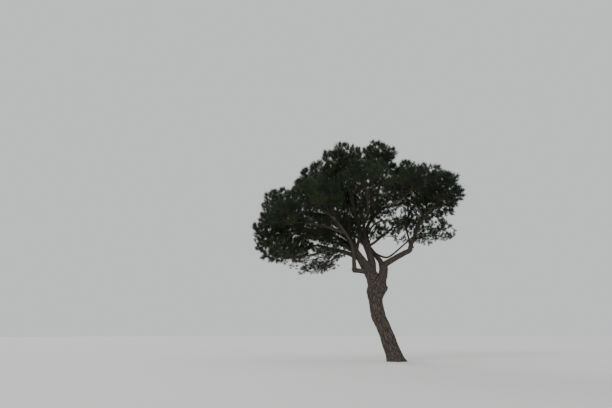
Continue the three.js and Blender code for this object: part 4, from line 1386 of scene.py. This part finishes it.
# %% Slender boughs
BOUGHS = {
    "inner_rise_bough": {
        "on": "left_leader", "at": 0.38, "butt": 0.15, "tip": 0.05,
        "through": [(-1.4, -0.15, 4.62), (-1.34, -0.22, 4.9), (-1.37, -0.35, 5.28), (-1.42, -0.5, 5.75)],
    },
    "left_rise_bough": {
        "on": "left_leader", "at": 0.4, "butt": 0.13, "tip": 0.045,
        "through": [(-1.53, -0.2, 4.72), (-1.59, -0.35, 5.04), (-1.74, -0.6, 5.41)],
    },
    "left_high_bough": {
        "on": "left_leader", "at": 0.58, "butt": 0.065, "tip": 0.022,
        "through": [(-2.02, -0.35, 5.82), (-2.18, -0.5, 6.05), (-2.49, -0.7, 6.22)],
    },
    "top_inner_bough": {
        "on": "left_leader", "at": 0.62, "butt": 0.06, "tip": 0.022,
        "through": [(-1.95, -0.15, 6.1), (-1.98, -0.25, 6.6), (-2.1, -0.35, 7), (-2.25, -0.4, 7.3)],
    },
    "top_middle_bough": {
        "on": "right_leader", "at": 0.5, "butt": 0.06, "tip": 0.022,
        "through": [(-0.86, 0, 6.2), (-0.88, -0.15, 6.65), (-0.93, -0.25, 6.95), (-1, -0.3, 7.2)],
    },
    "right_arm_bough": {
        "on": "right_leader", "at": 0.2, "butt": 0.075, "tip": 0.026,
        "through": [(-0.75, -0.3, 5.34), (-0.45, -0.5, 5.45), (-0.2, -0.6, 5.44),
                    (0.08, -0.6, 5.48), (0.46, -0.5, 5.61)],
    },
    "under_arm_bough": {
        "on": "right_leader", "at": 0.12, "butt": 0.04, "tip": 0.018,
        "through": [(-0.75, -0.3, 5.2), (-0.56, -0.4, 5.1), (-0.32, -0.45, 5.13)],
    },
    "lower_arm_bough": {
        "on": "right_leader", "at": 0.05, "butt": 0.04, "tip": 0.018,
        "through": [(-0.83, -0.2, 5.02), (-0.64, -0.35, 4.91), (-0.45, -0.5, 4.96)],
    },
    "over_arm_bough": {
        "on": "right_leader", "at": 0.45, "butt": 0.05, "tip": 0.02,
        "through": [(-0.64, 0, 5.87), (-0.37, -0.25, 5.86), (-0.07, -0.5, 5.81)],
    },
    "high_arm_bough": {
        "on": "right_leader", "at": 0.6, "butt": 0.055, "tip": 0.022,
        "through": [(-0.43, -0.1, 6.39), (-0.19, -0.3, 6.6), (0.02, -0.5, 6.81)],
    },
    "high_back_bough": {
        "on": "right_leader", "at": 0.55, "butt": 0.05, "tip": 0.02,
        "through": [(-0.35, -0.1, 6.19), (-0.05, 0.3, 6.55), (0.16, 0.6, 6.83)],
    },
    "cross_bough_front": {
        "on": "cross_limb", "at": 0.72, "butt": 0.04, "tip": 0.018,
        "through": [(-0.12, -0.3, 5.01), (0.09, -0.5, 4.91)],
    },
    "cross_bough_back": {
        "on": "cross_limb", "at": 0.86, "butt": 0.04, "tip": 0.018,
        "through": [(0.07, 0.05, 5.18), (0.41, 0.3, 5.16)],
    },
    "cross_bough_low": {
        "on": "cross_limb", "at": 0.66, "butt": 0.032, "tip": 0.014,
        "through": [(-0.04, -0.2, 4.86), (0.19, -0.3, 4.72), (0.42, -0.35, 4.7)],
    },
    "right_arc_bough": {
        "on": "right_limb_upper", "at": 0.44, "butt": 0.045, "tip": 0.018,
        "through": [(0.88, 0.05, 5.49), (0.65, 0.05, 5.61), (0.52, 0.1, 5.42)],
    },
    "right_inner_bough": {
        "on": "right_inner_limb", "at": 0.45, "butt": 0.05, "tip": 0.018,
        "through": [(0.81, 0.1, 6.07), (1.02, 0, 6.27), (1.28, -0.1, 6.39)],
    },
    "right_layer_bough": {
        "on": "right_limb_upper", "at": 0.42, "butt": 0.05, "tip": 0.018,
        "through": [(1.34, 0.3, 5.23), (1.69, 0.5, 5.18), (2, 0.7, 5.25),
                    (2.45, 0.8, 5.38), (2.62, 0.8, 5.22)],
    },
    "right_tail_bough": {
        "on": "right_limb_upper", "at": 0.4, "butt": 0.045, "tip": 0.016,
        "through": [(1.35, 0.2, 5.06), (1.79, 0.4, 5), (2.12, 0.5, 4.92), (2.38, 0.6, 4.94)],
    },
    "right_low_bough": {
        "on": "right_limb_upper", "at": 0.36, "butt": 0.04, "tip": 0.016,
        "through": [(1.05, -0.1, 4.86), (1.25, -0.2, 4.73), (1.45, -0.3, 4.68)],
    },
    "right_hanging_bough": {
        "on": "right_limb_upper", "at": 0.64, "butt": 0.05, "tip": 0.018,
        "through": [(1.44, 0.2, 5.84), (1.73, 0.3, 5.77), (1.97, 0.35, 5.65), (2.08, 0.35, 5.48)],
    },
    "left_fan_front": {
        "on": "low_left_limb", "at": 0.4, "butt": 0.06, "tip": 0.018,
        "through": [(-2.43, -0.8, 3.88), (-2.97, -1, 3.6), (-3.4, -1.1, 3.46)],
    },
    "left_fan_back": {
        "on": "low_left_limb", "at": 0.5, "butt": 0.055, "tip": 0.018,
        "through": [(-2.73, -0.2, 4.08), (-3.44, 0.1, 3.97), (-3.9, 0.3, 3.96)],
    },
    "left_fan_middle": {
        "on": "low_left_limb", "at": 0.7, "butt": 0.055, "tip": 0.018,
        "through": [(-3.21, -0.9, 4.08), (-3.77, -1.2, 3.96), (-4.2, -1.3, 3.98)],
    },
    "left_inner_bough": {
        "on": "left_leader", "at": 0.33, "butt": 0.11, "tip": 0.026,
        "through": [(-1.95, -0.45, 4.5), (-2.35, -0.7, 4.62), (-2.95, -0.95, 4.72), (-3.6, -1.1, 4.8)],
    },
    "left_upper_bough": {
        "on": "left_leader", "at": 0.42, "butt": 0.1, "tip": 0.024,
        "through": [(-2, -0.4, 4.92), (-2.7, -0.6, 5.12), (-3.31, -0.6, 5.07),
                    (-3.87, -0.6, 4.95), (-4.27, -0.6, 4.88)],
    },
    "left_thin_bough": {
        "on": "left_leader", "at": 0.36, "butt": 0.07, "tip": 0.02,
        "through": [(-1.86, -0.3, 4.76), (-2.18, -0.5, 4.97), (-2.54, -0.7, 5.13)],
    },
    "left_level_bough": {
        "on": "left_leader", "at": 0.29, "butt": 0.08, "tip": 0.02,
        "through": [(-1.88, -0.3, 4.42), (-2.24, -0.5, 4.56), (-2.68, -0.7, 4.64)],
    },
    "left_under_bough": {
        "on": "low_left_limb", "at": 0.25, "butt": 0.05, "tip": 0.016,
        "through": [(-2.1, -0.1, 4.13), (-2.5, 0.05, 3.96), (-2.85, 0.1, 3.72)],
    },
    "left_edge_bough": {
        "on": "left_side_limb", "at": 0.9, "butt": 0.06, "tip": 0.02,
        "through": [(-4.6, -0.2, 4.95), (-5.1, -0.3, 4.74), (-5.4, -0.3, 4.6)],
    },
    "left_back_bough": {
        "on": "left_side_limb", "at": 0.3, "butt": 0.06, "tip": 0.02,
        "through": [(-3.3, 0.4, 5.08), (-3.7, 0.45, 5), (-4.1, 0.4, 4.92), (-4.45, 0.35, 4.8)],
    },
    "top_left_bough": {
        "on": "left_leader", "at": 0.7, "butt": 0.055, "tip": 0.02,
        "through": [(-2.22, -0.2, 6.3), (-2.22, -0.3, 6.75), (-2.25, -0.38, 7.3)],
    },
}


def bough_axes():
    axes = {}
    for name, bough in BOUGHS.items():
        root = point_at(AXES[bough["on"]], bough["at"])
        points = np.vstack([root, bough["through"]])
        axes[name] = {"points": points, "butt": bough["butt"], "tip": bough["tip"]}
    return axes


BOUGH_AXES = bough_axes()
print(len(BOUGH_AXES), "slender boughs")

# %% Lace
LACE = {  # from and to, as shares; twigs to a metre; their reach, rise and forward lean; tufts on a twig
    "low_left_limb": (0.2, 1, 9, 0.5, -0.2, 2, 3),
    "low_inner_limb": (0.2, 1, 9, 0.35, -0.1, 0.8, 4),
    "drooping_limb": (0.2, 1, 9, 0.35, -0.2, 0.8, 4),
    "left_limb": (0.3, 1, 9, 0.5, 0.2, 0.8, 6),
    "left_side_limb": (0.1, 1, 9, 0.55, 0.1, 0.8, 6),
    "front_side_limb": (0.3, 1, 8, 0.55, 0.2, 0.8, 6),
    "elbow_limb_upper": (0.5, 1, 8, 0.55, 0.4, 0.8, 6),
    "left_leader": (0.45, 1, 8, 0.55, 0.4, 0.8, 6),
    "right_leader": (0.25, 1, 10, 0.5, 0.3, 0.8, 5),
    "centre_leader": (0.3, 1, 8, 0.55, 0.4, 0.8, 6),
    "back_limb": (0.6, 1, 6, 0.6, 0.3, 0.8, 6),
    "back_left_limb": (0.3, 1, 5, 0.6, 0.3, 0.8, 6),
    "low_back_limb": (0.3, 1, 5, 0.6, 0.2, 0.8, 6),
    "far_back_limb": (0.3, 1, 5, 0.6, 0.2, 0.8, 6),
    "low_far_limb": (0.2, 1, 5, 0.5, 0, 0.8, 5),
    "back_right_limb": (0.3, 1, 5, 0.5, 0.3, 0.8, 5),
    "front_right_limb": (0.1, 0.8, 11, 0.36, -0.3, 0.8, 4),
    "right_inner_limb": (0.15, 1, 12, 0.42, 0.1, 0.8, 4),
    "right_limb_upper": (0.35, 1, 12, 0.5, 0.1, 0.8, 5),
    "right_middle_limb": (0.2, 1, 9, 0.5, 0.1, 0.8, 5),
    "right_front_limb": (0.2, 1, 8, 0.5, 0.1, 0.8, 5),
    "low_cross_limb": (0.84, 1, 9, 0.35, 0, 0.8, 3),
    "cross_limb": (0.6, 1, 8, 0.3, 0, 0.8, 3),
    "right_low_limb": (0.2, 1, 10, 0.35, 0, 0.8, 3),
    "inner_rise_bough": (0.35, 1, 10, 0.4, 0.3, 0.8, 5),
    "left_rise_bough": (0.35, 1, 10, 0.4, 0.3, 0.8, 5),
    "left_high_bough": (0.1, 1, 11, 0.4, 0.2, 0.8, 5),
    "top_inner_bough": (0.5, 1, 11, 0.5, 0.1, 0.8, 6),
    "top_middle_bough": (0.5, 1, 11, 0.5, 0.1, 0.8, 6),
    "right_arm_bough": (0.15, 1, 13, 0.34, -0.4, 0.8, 4),
    "under_arm_bough": (0.15, 1, 13, 0.26, 0, 0.8, 4),
    "lower_arm_bough": (0.15, 1, 13, 0.24, 0, 0.8, 4),
    "over_arm_bough": (0.1, 1, 13, 0.3, 0, 0.8, 4),
    "high_arm_bough": (0.1, 1, 13, 0.35, 0.1, 0.8, 5),
    "high_back_bough": (0.1, 1, 12, 0.35, 0.1, 0.8, 5),
    "cross_bough_front": (0.3, 1, 10, 0.25, -0.1, 0.8, 3),
    "cross_bough_back": (0.3, 1, 10, 0.25, 0, 0.8, 3),
    "cross_bough_low": (0.2, 1, 13, 0.34, 0, 1.6, 2),
    "right_arc_bough": (0.1, 1, 12, 0.28, 0, 0.8, 4),
    "right_inner_bough": (0.05, 1, 14, 0.36, 0, 0.8, 4),
    "right_layer_bough": (0.1, 1, 10, 0.3, -0.1, 1.6, 2),
    "right_tail_bough": (0.2, 1, 10, 0.28, -0.1, 1.6, 2),
    "right_low_bough": (0.2, 1, 11, 0.26, 0, 1.2, 3),
    "right_hanging_bough": (0.1, 1, 13, 0.3, -0.2, 0.8, 4),
    "left_fan_front": (0.1, 1, 14, 0.62, -0.15, 3, 2),
    "left_fan_back": (0.1, 1, 13, 0.6, -0.1, 3, 2),
    "left_fan_middle": (0.05, 1, 13, 0.6, -0.15, 3, 2),
    "left_inner_bough": (0.1, 1, 11, 0.5, -0.1, 2.2, 3),
    "left_upper_bough": (0.15, 1, 10, 0.45, 0.1, 0.8, 5),
    "left_thin_bough": (0.1, 1, 11, 0.42, 0, 1.6, 4),
    "left_level_bough": (0.1, 1, 11, 0.42, -0.1, 1.8, 3),
    "left_under_bough": (0.1, 1, 12, 0.42, -0.2, 2.4, 3),
    "left_edge_bough": (0.2, 1, 11, 0.4, 0, 0.8, 5),
    "left_back_bough": (0.1, 1, 11, 0.45, 0, 0.8, 6),
    "top_left_bough": (0.5, 1, 11, 0.45, 0.1, 0.8, 6),
}
LACE_TWIG = (0.01, 0.008, 0.006, 0.0045)  # radii along a twig
LOWEST_TWIG = 3.3
TUFT_ROOM = 0.12  # a tuft starts at least this far inside the frame's box
LACE_SWELL = 0.94  # and inside the crown's eggs, as a share of their size
LACE_UPTURN = 0.3  # how far its end turns up again
LACE_SHOOT = 0.4  # length of its shoots, as a share of its own
LACE_BEND = (0.35, 0.65)  # places of its two bends, as shares of its length
LACE_SHARES = {"twig": (0.55, 0.6), "shoot": (0.6, 0.5)}  # of the full length: at least, and by chance
LACE_STRAY = 0.4  # of its end's direction
SHOOTS_BETWEEN = (0.5, 0.95)  # shares of it between which its shoots start
SHOOTS_STRAY = 0.1
LACE_SHOOT_WAY = {"ahead": 0.6, "up": 0.3}
LACE_SAG = 0.03  # of a shoot's middle, as a share of the twig's length
LACE_TUFT_UP = 0.2


def lace_is_clear(points):
    """Whether tufts at these points stay inside the crown, the frame's box and off the ground."""
    low, high = np.array(cad_box[0]) + TUFT_ROOM, np.array(cad_box[1]) - TUFT_ROOM
    inside = ((points > low) & (points < high)).all(1) & (points[:, 2] > LOWEST_TWIG)
    return inside & inside_crown(points, LACE_SWELL)


def uneven(shares, random, shape=None):
    """The first share, and by chance up to the second one more."""
    return shares[0] + shares[1] * random.random(shape)


def lace_line(root, way, length, rise, random):
    """A side twig's four points, and the way that its end looks."""
    bend = unit(way + (LACE_UPTURN + rise) * UP + LACE_STRAY * (random.random(3) - 0.5))
    early = root + LACE_BEND[0] * length * way
    late = root + LACE_BEND[1] * length * unit(way + bend)
    return np.array([root, early, late, root + length * bend]), bend


def lace_shoots(line, way, length, count, random):
    """Where the shoots of a side twig start and end."""
    places = np.linspace(*SHOOTS_BETWEEN, count) + SHOOTS_STRAY * (random.random(count) - 0.5)
    bases = smooth_through(line, places)
    aside = unit(np.cross(way, random.normal(size=(count, 3))))
    far = LACE_SHOOT * length * uneven(LACE_SHARES["shoot"], random, (count, 1))
    outer = bases + far * unit(aside + LACE_SHOOT_WAY["ahead"] * way + LACE_SHOOT_WAY["up"] * UP)
    return bases, outer


def lace_twigs(name, random):
    """Lines of the side twigs of a limb, lines of their shoots, and the end and direction of each tuft."""
    start, end, to_a_metre, reach, rise, forward, tuft_count = LACE[name]
    axis = AXES.get(name) or BOUGH_AXES[name]
    count = max(2, round((end - start) * length_of(axis) * to_a_metre))
    shares = start + (end - start) * (np.arange(count) + random.random(count)) / count
    twigs, shoots, tips, ways = [], [], [], []
    for i, (root, side, up, along) in enumerate(zip(*frames_along(axis, shares))):
        turn = GOLDEN_ANGLE * i + random.random()
        length = reach * uneven(LACE_SHARES["twig"], random)
        way = unit(math.cos(turn) * side + math.sin(turn) * up + forward * along + rise * UP)
        line, bend = lace_line(root, way, length, rise, random)
        bases, outer = lace_shoots(line, way, length, tuft_count - 1, random)
        if not lace_is_clear(line[-1:])[0]:
            continue
        kept = lace_is_clear(outer)
        twigs.append(line)
        shoots.append(np.stack([bases, (bases + outer) / 2 - LACE_SAG * length * UP, outer], 1)[kept])
        tips.append(np.vstack([outer[kept], line[-1:]]))
        ways.append(np.vstack([unit(outer - bases + LACE_TUFT_UP * UP)[kept], bend]))
    if not twigs:
        return [], np.zeros((0, 3, 3)), np.zeros((0, 3)), np.zeros((0, 3))
    return twigs, np.vstack(shoots), np.vstack(tips), np.vstack(ways)


# %% [markdown]
# ## A tuft of needles
# The needles stand round the last stretch of a shoot: nearly straight ahead at its tip, and out to the side
# and a little back at the foot of the tuft. Real needles of this pine are 10 to 15 cm long and thinner than
# 2 mm, and a tuft has some two hundred. Here a tuft has fewer and wider ones, so that it looks as full.
# Each needle is a slim closed spike of four faces. A few templates are made once, and every tuft is a
# turned copy of one of them. The tufts of the lace are smaller, as on a shaded twig.

# %% Tufts
TUFTS = {
    "full": {"needles": 24, "long": 0.13, "wide": 0.0148, "shoot": 0.085},
    "small": {"needles": 16, "long": 0.1, "wide": 0.015, "shoot": 0.06},
}
TEMPLATES = 8
TUFT_SEED = 5
NEEDLE_TURN = 0.5  # stray of a needle round the shoot, in radians
NEEDLE_LEAN = (98, 84, 1.3)  # degrees at the foot, degrees fewer at the tip, and how late they go
LEAN_STRAY = 22
NEEDLE_SHARES = (0.82, 0.3)  # of the full length: at least, and by chance
TUFT_SHARES = (0.85, 0.3)
NEARLY_UP = (0.2, 0.1, 0.97)  # hardly any needle runs this way


def tuft_template(kind, random):
    """Points of one tuft about a shoot that ends at the origin and runs up Z."""
    tuft = TUFTS[kind]
    count = tuft["needles"]
    share = (np.arange(count) + 0.5) / count
    turn = GOLDEN_ANGLE * np.arange(count) + NEEDLE_TURN * random.random(count)
    foot, less, late = NEEDLE_LEAN
    lean = np.radians(foot - less * share**late + LEAN_STRAY * (random.random(count) - 0.5))
    length = tuft["long"] * uneven(NEEDLE_SHARES, random, count)
    roots = np.stack([0 * share, 0 * share, tuft["shoot"] * (share - 1)], 1)
    way = np.stack([np.sin(lean) * np.cos(turn), np.sin(lean) * np.sin(turn), np.cos(lean)], 1)
    side = unit(np.cross(way, NEARLY_UP))
    up = np.cross(way, side)
    base = [
        roots + tuft["wide"] / 2 * (math.cos(angle) * side + math.sin(angle) * up)
        for angle in (0, 2 * math.pi / 3, 4 * math.pi / 3)
    ]
    return np.stack([*base, roots + way * length[:, None]], 1).reshape(-1, 3)


NEEDLE_FACES = np.array([(0, 2, 1), (0, 1, 3), (1, 2, 3), (2, 0, 3)])
random = np.random.default_rng(TUFT_SEED)
templates = {kind: np.array([tuft_template(kind, random) for _ in range(TEMPLATES)]) for kind in TUFTS}


def tufts(kind, tips, ways, random):
    """Points and triangles of a tuft at each tip, looking its way."""
    start = unit(random.normal(size=(len(tips), 3)))
    side = unit(np.cross(ways, start))
    up = np.cross(ways, side)
    scale = uneven(TUFT_SHARES, random, len(tips))[:, None, None]
    turned = np.stack([side, up, ways], 1)
    points = (templates[kind][random.integers(TEMPLATES, size=len(tips))] @ turned) * scale + tips[:, None]
    needles = np.arange(TUFTS[kind]["needles"] * len(tips))
    return points.reshape(-1, 3), (NEEDLE_FACES[None] + 4 * needles[:, None, None]).reshape(-1, 3)


print("triangles of a tuft", {kind: 4 * tuft["needles"] for kind, tuft in TUFTS.items()})

# %% [markdown]
# ## Grow the crown
# The masses are grown one by one, and what they make is gathered by region, so that each piece stays of a
# size that is easy to handle. The needles of a spray all have one of three tints, dealt out by chance: a
# plain colour for each, because a pattern would be lost on needles this thin.

# %% Growing
REGIONS = {
    "top": ["top_left_foliage", "top_right_foliage", "right_shoulder_foliage"],
    "left": ["left_shoulder_foliage", "left_upper_foliage", "left_lobe_foliage"],
    "low_left": ["left_low_foliage", "low_inner_foliage", "drooping_foliage", "front_side_foliage"],
    "right": [
        "right_lobe_foliage", "right_inner_foliage", "right_low_back_foliage", "right_low_foliage",
        "right_middle_foliage", "right_front_foliage",
    ],
    "front": ["front_left_foliage", "front_foliage", "front_right_foliage"],
    "back": ["back_foliage", "low_back_foliage", "back_right_foliage"],
    "back_left": ["back_left_foliage", "far_back_foliage", "low_far_foliage"],
}
NEEDLE_TINTS = {
    "needles_deep": (0.012, 0.022, 0.010, 1),
    "needles_green": (0.019, 0.033, 0.013, 1),
    "needles_fresh": (0.030, 0.046, 0.017, 1),
}
TWIG_SIDES = 4
BOUGH_SIDES = 8
LACE_SIDES = 3
LACE_SEED = 17
PARTING = -1.2  # across, between the left and the right half of the lace


def new_growth():
    return {"wood": [], "leaves": [], "tints": []}


def add_tufts(growth, kind, tips, ways, random):
    """Tufts at these tips, all of one tint."""
    made = tufts(kind, tips, ways, random)
    growth["leaves"].append(made)
    growth["tints"].append(np.full(len(made[1]), random.integers(len(NEEDLE_TINTS))))


def add_spray(growth, line, spray, space, share_kept, kind, random):
    """The wood and the needles of one spray. Gives back the ends of its shoots."""
    growth["wood"].append(smooth_tube(*line, TWIG_SIDES))
    shoots, tips, ways = spray_shoots(line[0], spray, space, share_kept, random)
    growth["wood"].append(shoot_tubes(shoots))
    add_tufts(growth, kind, tips, ways, random)
    return list(tips)


def add_mass(growth, name):
    """All sprays of a mass, and small ones in its holes."""
    mass = grown[name]
    random = np.random.default_rng(MASSES[name]["seed"])
    tips = []
    share, kind = THIN_MASSES.get(name, 1), "small" if name in THIN_MASSES else "full"
    for line, (spray, _, _) in zip(twig_lines(mass), mass["served"]):
        tips += add_spray(growth, line, spray, mass["space"], share, kind, random)
    if name in THIN_MASSES:
        return 0
    small = fill_lines(name, mass, tips, random)
    for points, spray in small:
        add_spray(growth, (points, np.array(FILL_TWIG)), spray, mass["space"], FILL_SHARE, "full", random)
    return len(small)


def add_lace(growth, name, random):
    """The side twigs of a limb or bough."""
    twigs, shoots, tips, ways = lace_twigs(name, random)
    for line in twigs:
        growth["wood"].append(smooth_tube(line, np.array(LACE_TWIG), LACE_SIDES))
    growth["wood"].append(shoot_tubes(shoots))
    if len(tips):
        add_tufts(growth, "small", tips, ways, random)
    return len(twigs)


def add_bough(growth, name):
    axis = BOUGH_AXES[name]
    radii = np.linspace(axis["butt"], axis["tip"], len(axis["points"])) / 2
    growth["wood"].append(smooth_tube(axis["points"], radii, BOUGH_SIDES))


# %% [markdown]
# ## Pieces of the crown
# Each region becomes two meshes, one of needles and one of twigs, made straight from the arrays. The lace
# is parted in a left and a right half, and each half becomes two meshes in the same way.

# %% Crown
TWIG_COLOUR = (0.045, 0.034, 0.027, 1)
TWIG_FINISH = {"Roughness": 0.9, "Specular IOR Level": 0.3}
NEEDLE_FINISH = {"Roughness": 0.55, "Specular IOR Level": 0.3}


def plain_material(name, colour, finish):
    material, _, shader = new_material(name)
    for key, value in {"Base Color": colour, **finish}.items():
        shader.inputs[key].default_value = value
    return material


needle_materials = [plain_material(name, colour, NEEDLE_FINISH) for name, colour in NEEDLE_TINTS.items()]
twig_material = plain_material("twig_bark", TWIG_COLOUR, TWIG_FINISH)


def gather(parts):
    """Many pairs of points and triangles as one pair."""
    counts = [len(points) for points, _ in parts]
    starts = np.concatenate([[0], np.cumsum(counts)[:-1]])
    return np.vstack([p for p, _ in parts]), np.vstack([f + s for (_, f), s in zip(parts, starts)])


def mesh_piece(name, points, faces, materials, slot):
    """One mesh piece from arrays, riding on the tree."""
    mesh = bpy.data.meshes.new(name)
    mesh.from_pydata(points, [], faces)
    for material in materials:
        mesh.materials.append(material)
    piece = bpy.data.objects.new(name, mesh)
    bpy.context.scene.collection.objects.link(piece)
    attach(piece, "root")
    return piece


def make_pieces(region, growth, masses=()):
    """The needles and the twigs of a region, as two pieces that replace its masses."""
    needles = mesh_piece("needles_" + region, *gather(growth["leaves"]), needle_materials, "needles")
    needles.data.polygons.foreach_set("material_index", np.hstack(growth["tints"]).astype(np.int32))
    twigs = mesh_piece("twigs_" + region, *gather(growth["wood"]), [twig_material], "bark")
    for piece in (needles, twigs) if masses else ():
        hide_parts(*masses)
    counts = len(needles.data.polygons), len(twigs.data.polygons)
    print(region, counts[0], "needle triangles,", counts[1], "twig triangles")
    return counts


totals = []
for region, names in REGIONS.items():
    growth = new_growth()
    print("small sprays", {name: add_mass(growth, name) for name in names})
    totals.append(make_pieces(region, growth, names))
lace = {"lace_left": new_growth(), "lace_right": new_growth()}
random = np.random.default_rng(LACE_SEED)


def lace_side(axis):
    """The growth that takes the lace of a limb or bough, by where it ends."""
    return lace["lace_left" if axis["points"][-1][0] < PARTING else "lace_right"]


for name, axis in BOUGH_AXES.items():
    add_bough(lace_side(axis), name)
counts = {name: add_lace(lace_side(AXES.get(name) or BOUGH_AXES[name]), name, random) for name in LACE}
print("side twigs", counts)
for side, growth in lace.items():
    totals.append(make_pieces(side, growth))
print("needle and twig triangles in all", np.sum(totals, axis=0))

# %% [markdown]
# ## Floor and light
# A wide pale floor and a pale, even sky leave the tree to be seen by its own outline, as against an evening
# sky. A soft, far lamp shines from each side, and one behind gives the edges of the trunk and the tufts a
# thin rim.

# %% Stage
FLOOR_COLOUR = (0.72, 0.72, 0.70, 1)
FLOOR_FINISH = {"Roughness": 0.95}
FLOOR_RADIUS = 160
FLOOR_SIDES = 96
SKY_COLOUR = (0.80, 0.81, 0.82, 1)
SKY_STRENGTH = 0.92
LAMPS = {  # place it shines from, width of its disc in degrees, strength
    "key_lamp": ((-14, -16, 15), 30, 1.1),
    "fill_lamp": ((15, -14, 9), 45, 0.45),
    "rim_lamp": ((-9, 16, 12), 30, 1.2),
}
LAMP_AIM = Vector((-1.2, 0, 5))


def make_floor():
    bpy.ops.mesh.primitive_circle_add(
        vertices=FLOOR_SIDES, radius=FLOOR_RADIUS, fill_type="NGON", location=(0, 0, 0)
    )
    floor = bpy.context.object
    floor.name = "floor"
    floor.data.materials.append(plain_material("pale_floor", FLOOR_COLOUR, FLOOR_FINISH))


def make_lamp(name, place, width, strength):
    """A soft lamp so far off that it lights the floor evenly."""
    bpy.ops.object.light_add(type="SUN", location=place)
    lamp = bpy.context.object
    lamp.name = name
    lamp.data.angle = math.radians(width)
    lamp.data.energy = strength
    lamp.rotation_euler = (LAMP_AIM - Vector(place)).to_track_quat("-Z", "Y").to_euler()


def make_sky():
    world = bpy.data.worlds.new("pale_sky")
    world.use_nodes = True
    background = world.node_tree.nodes["Background"]
    background.inputs["Color"].default_value = SKY_COLOUR
    background.inputs["Strength"].default_value = SKY_STRENGTH
    bpy.context.scene.world = world


deselect()
make_floor()
make_sky()
for name, (place, width, strength) in LAMPS.items():
    make_lamp(name, place, width, strength)
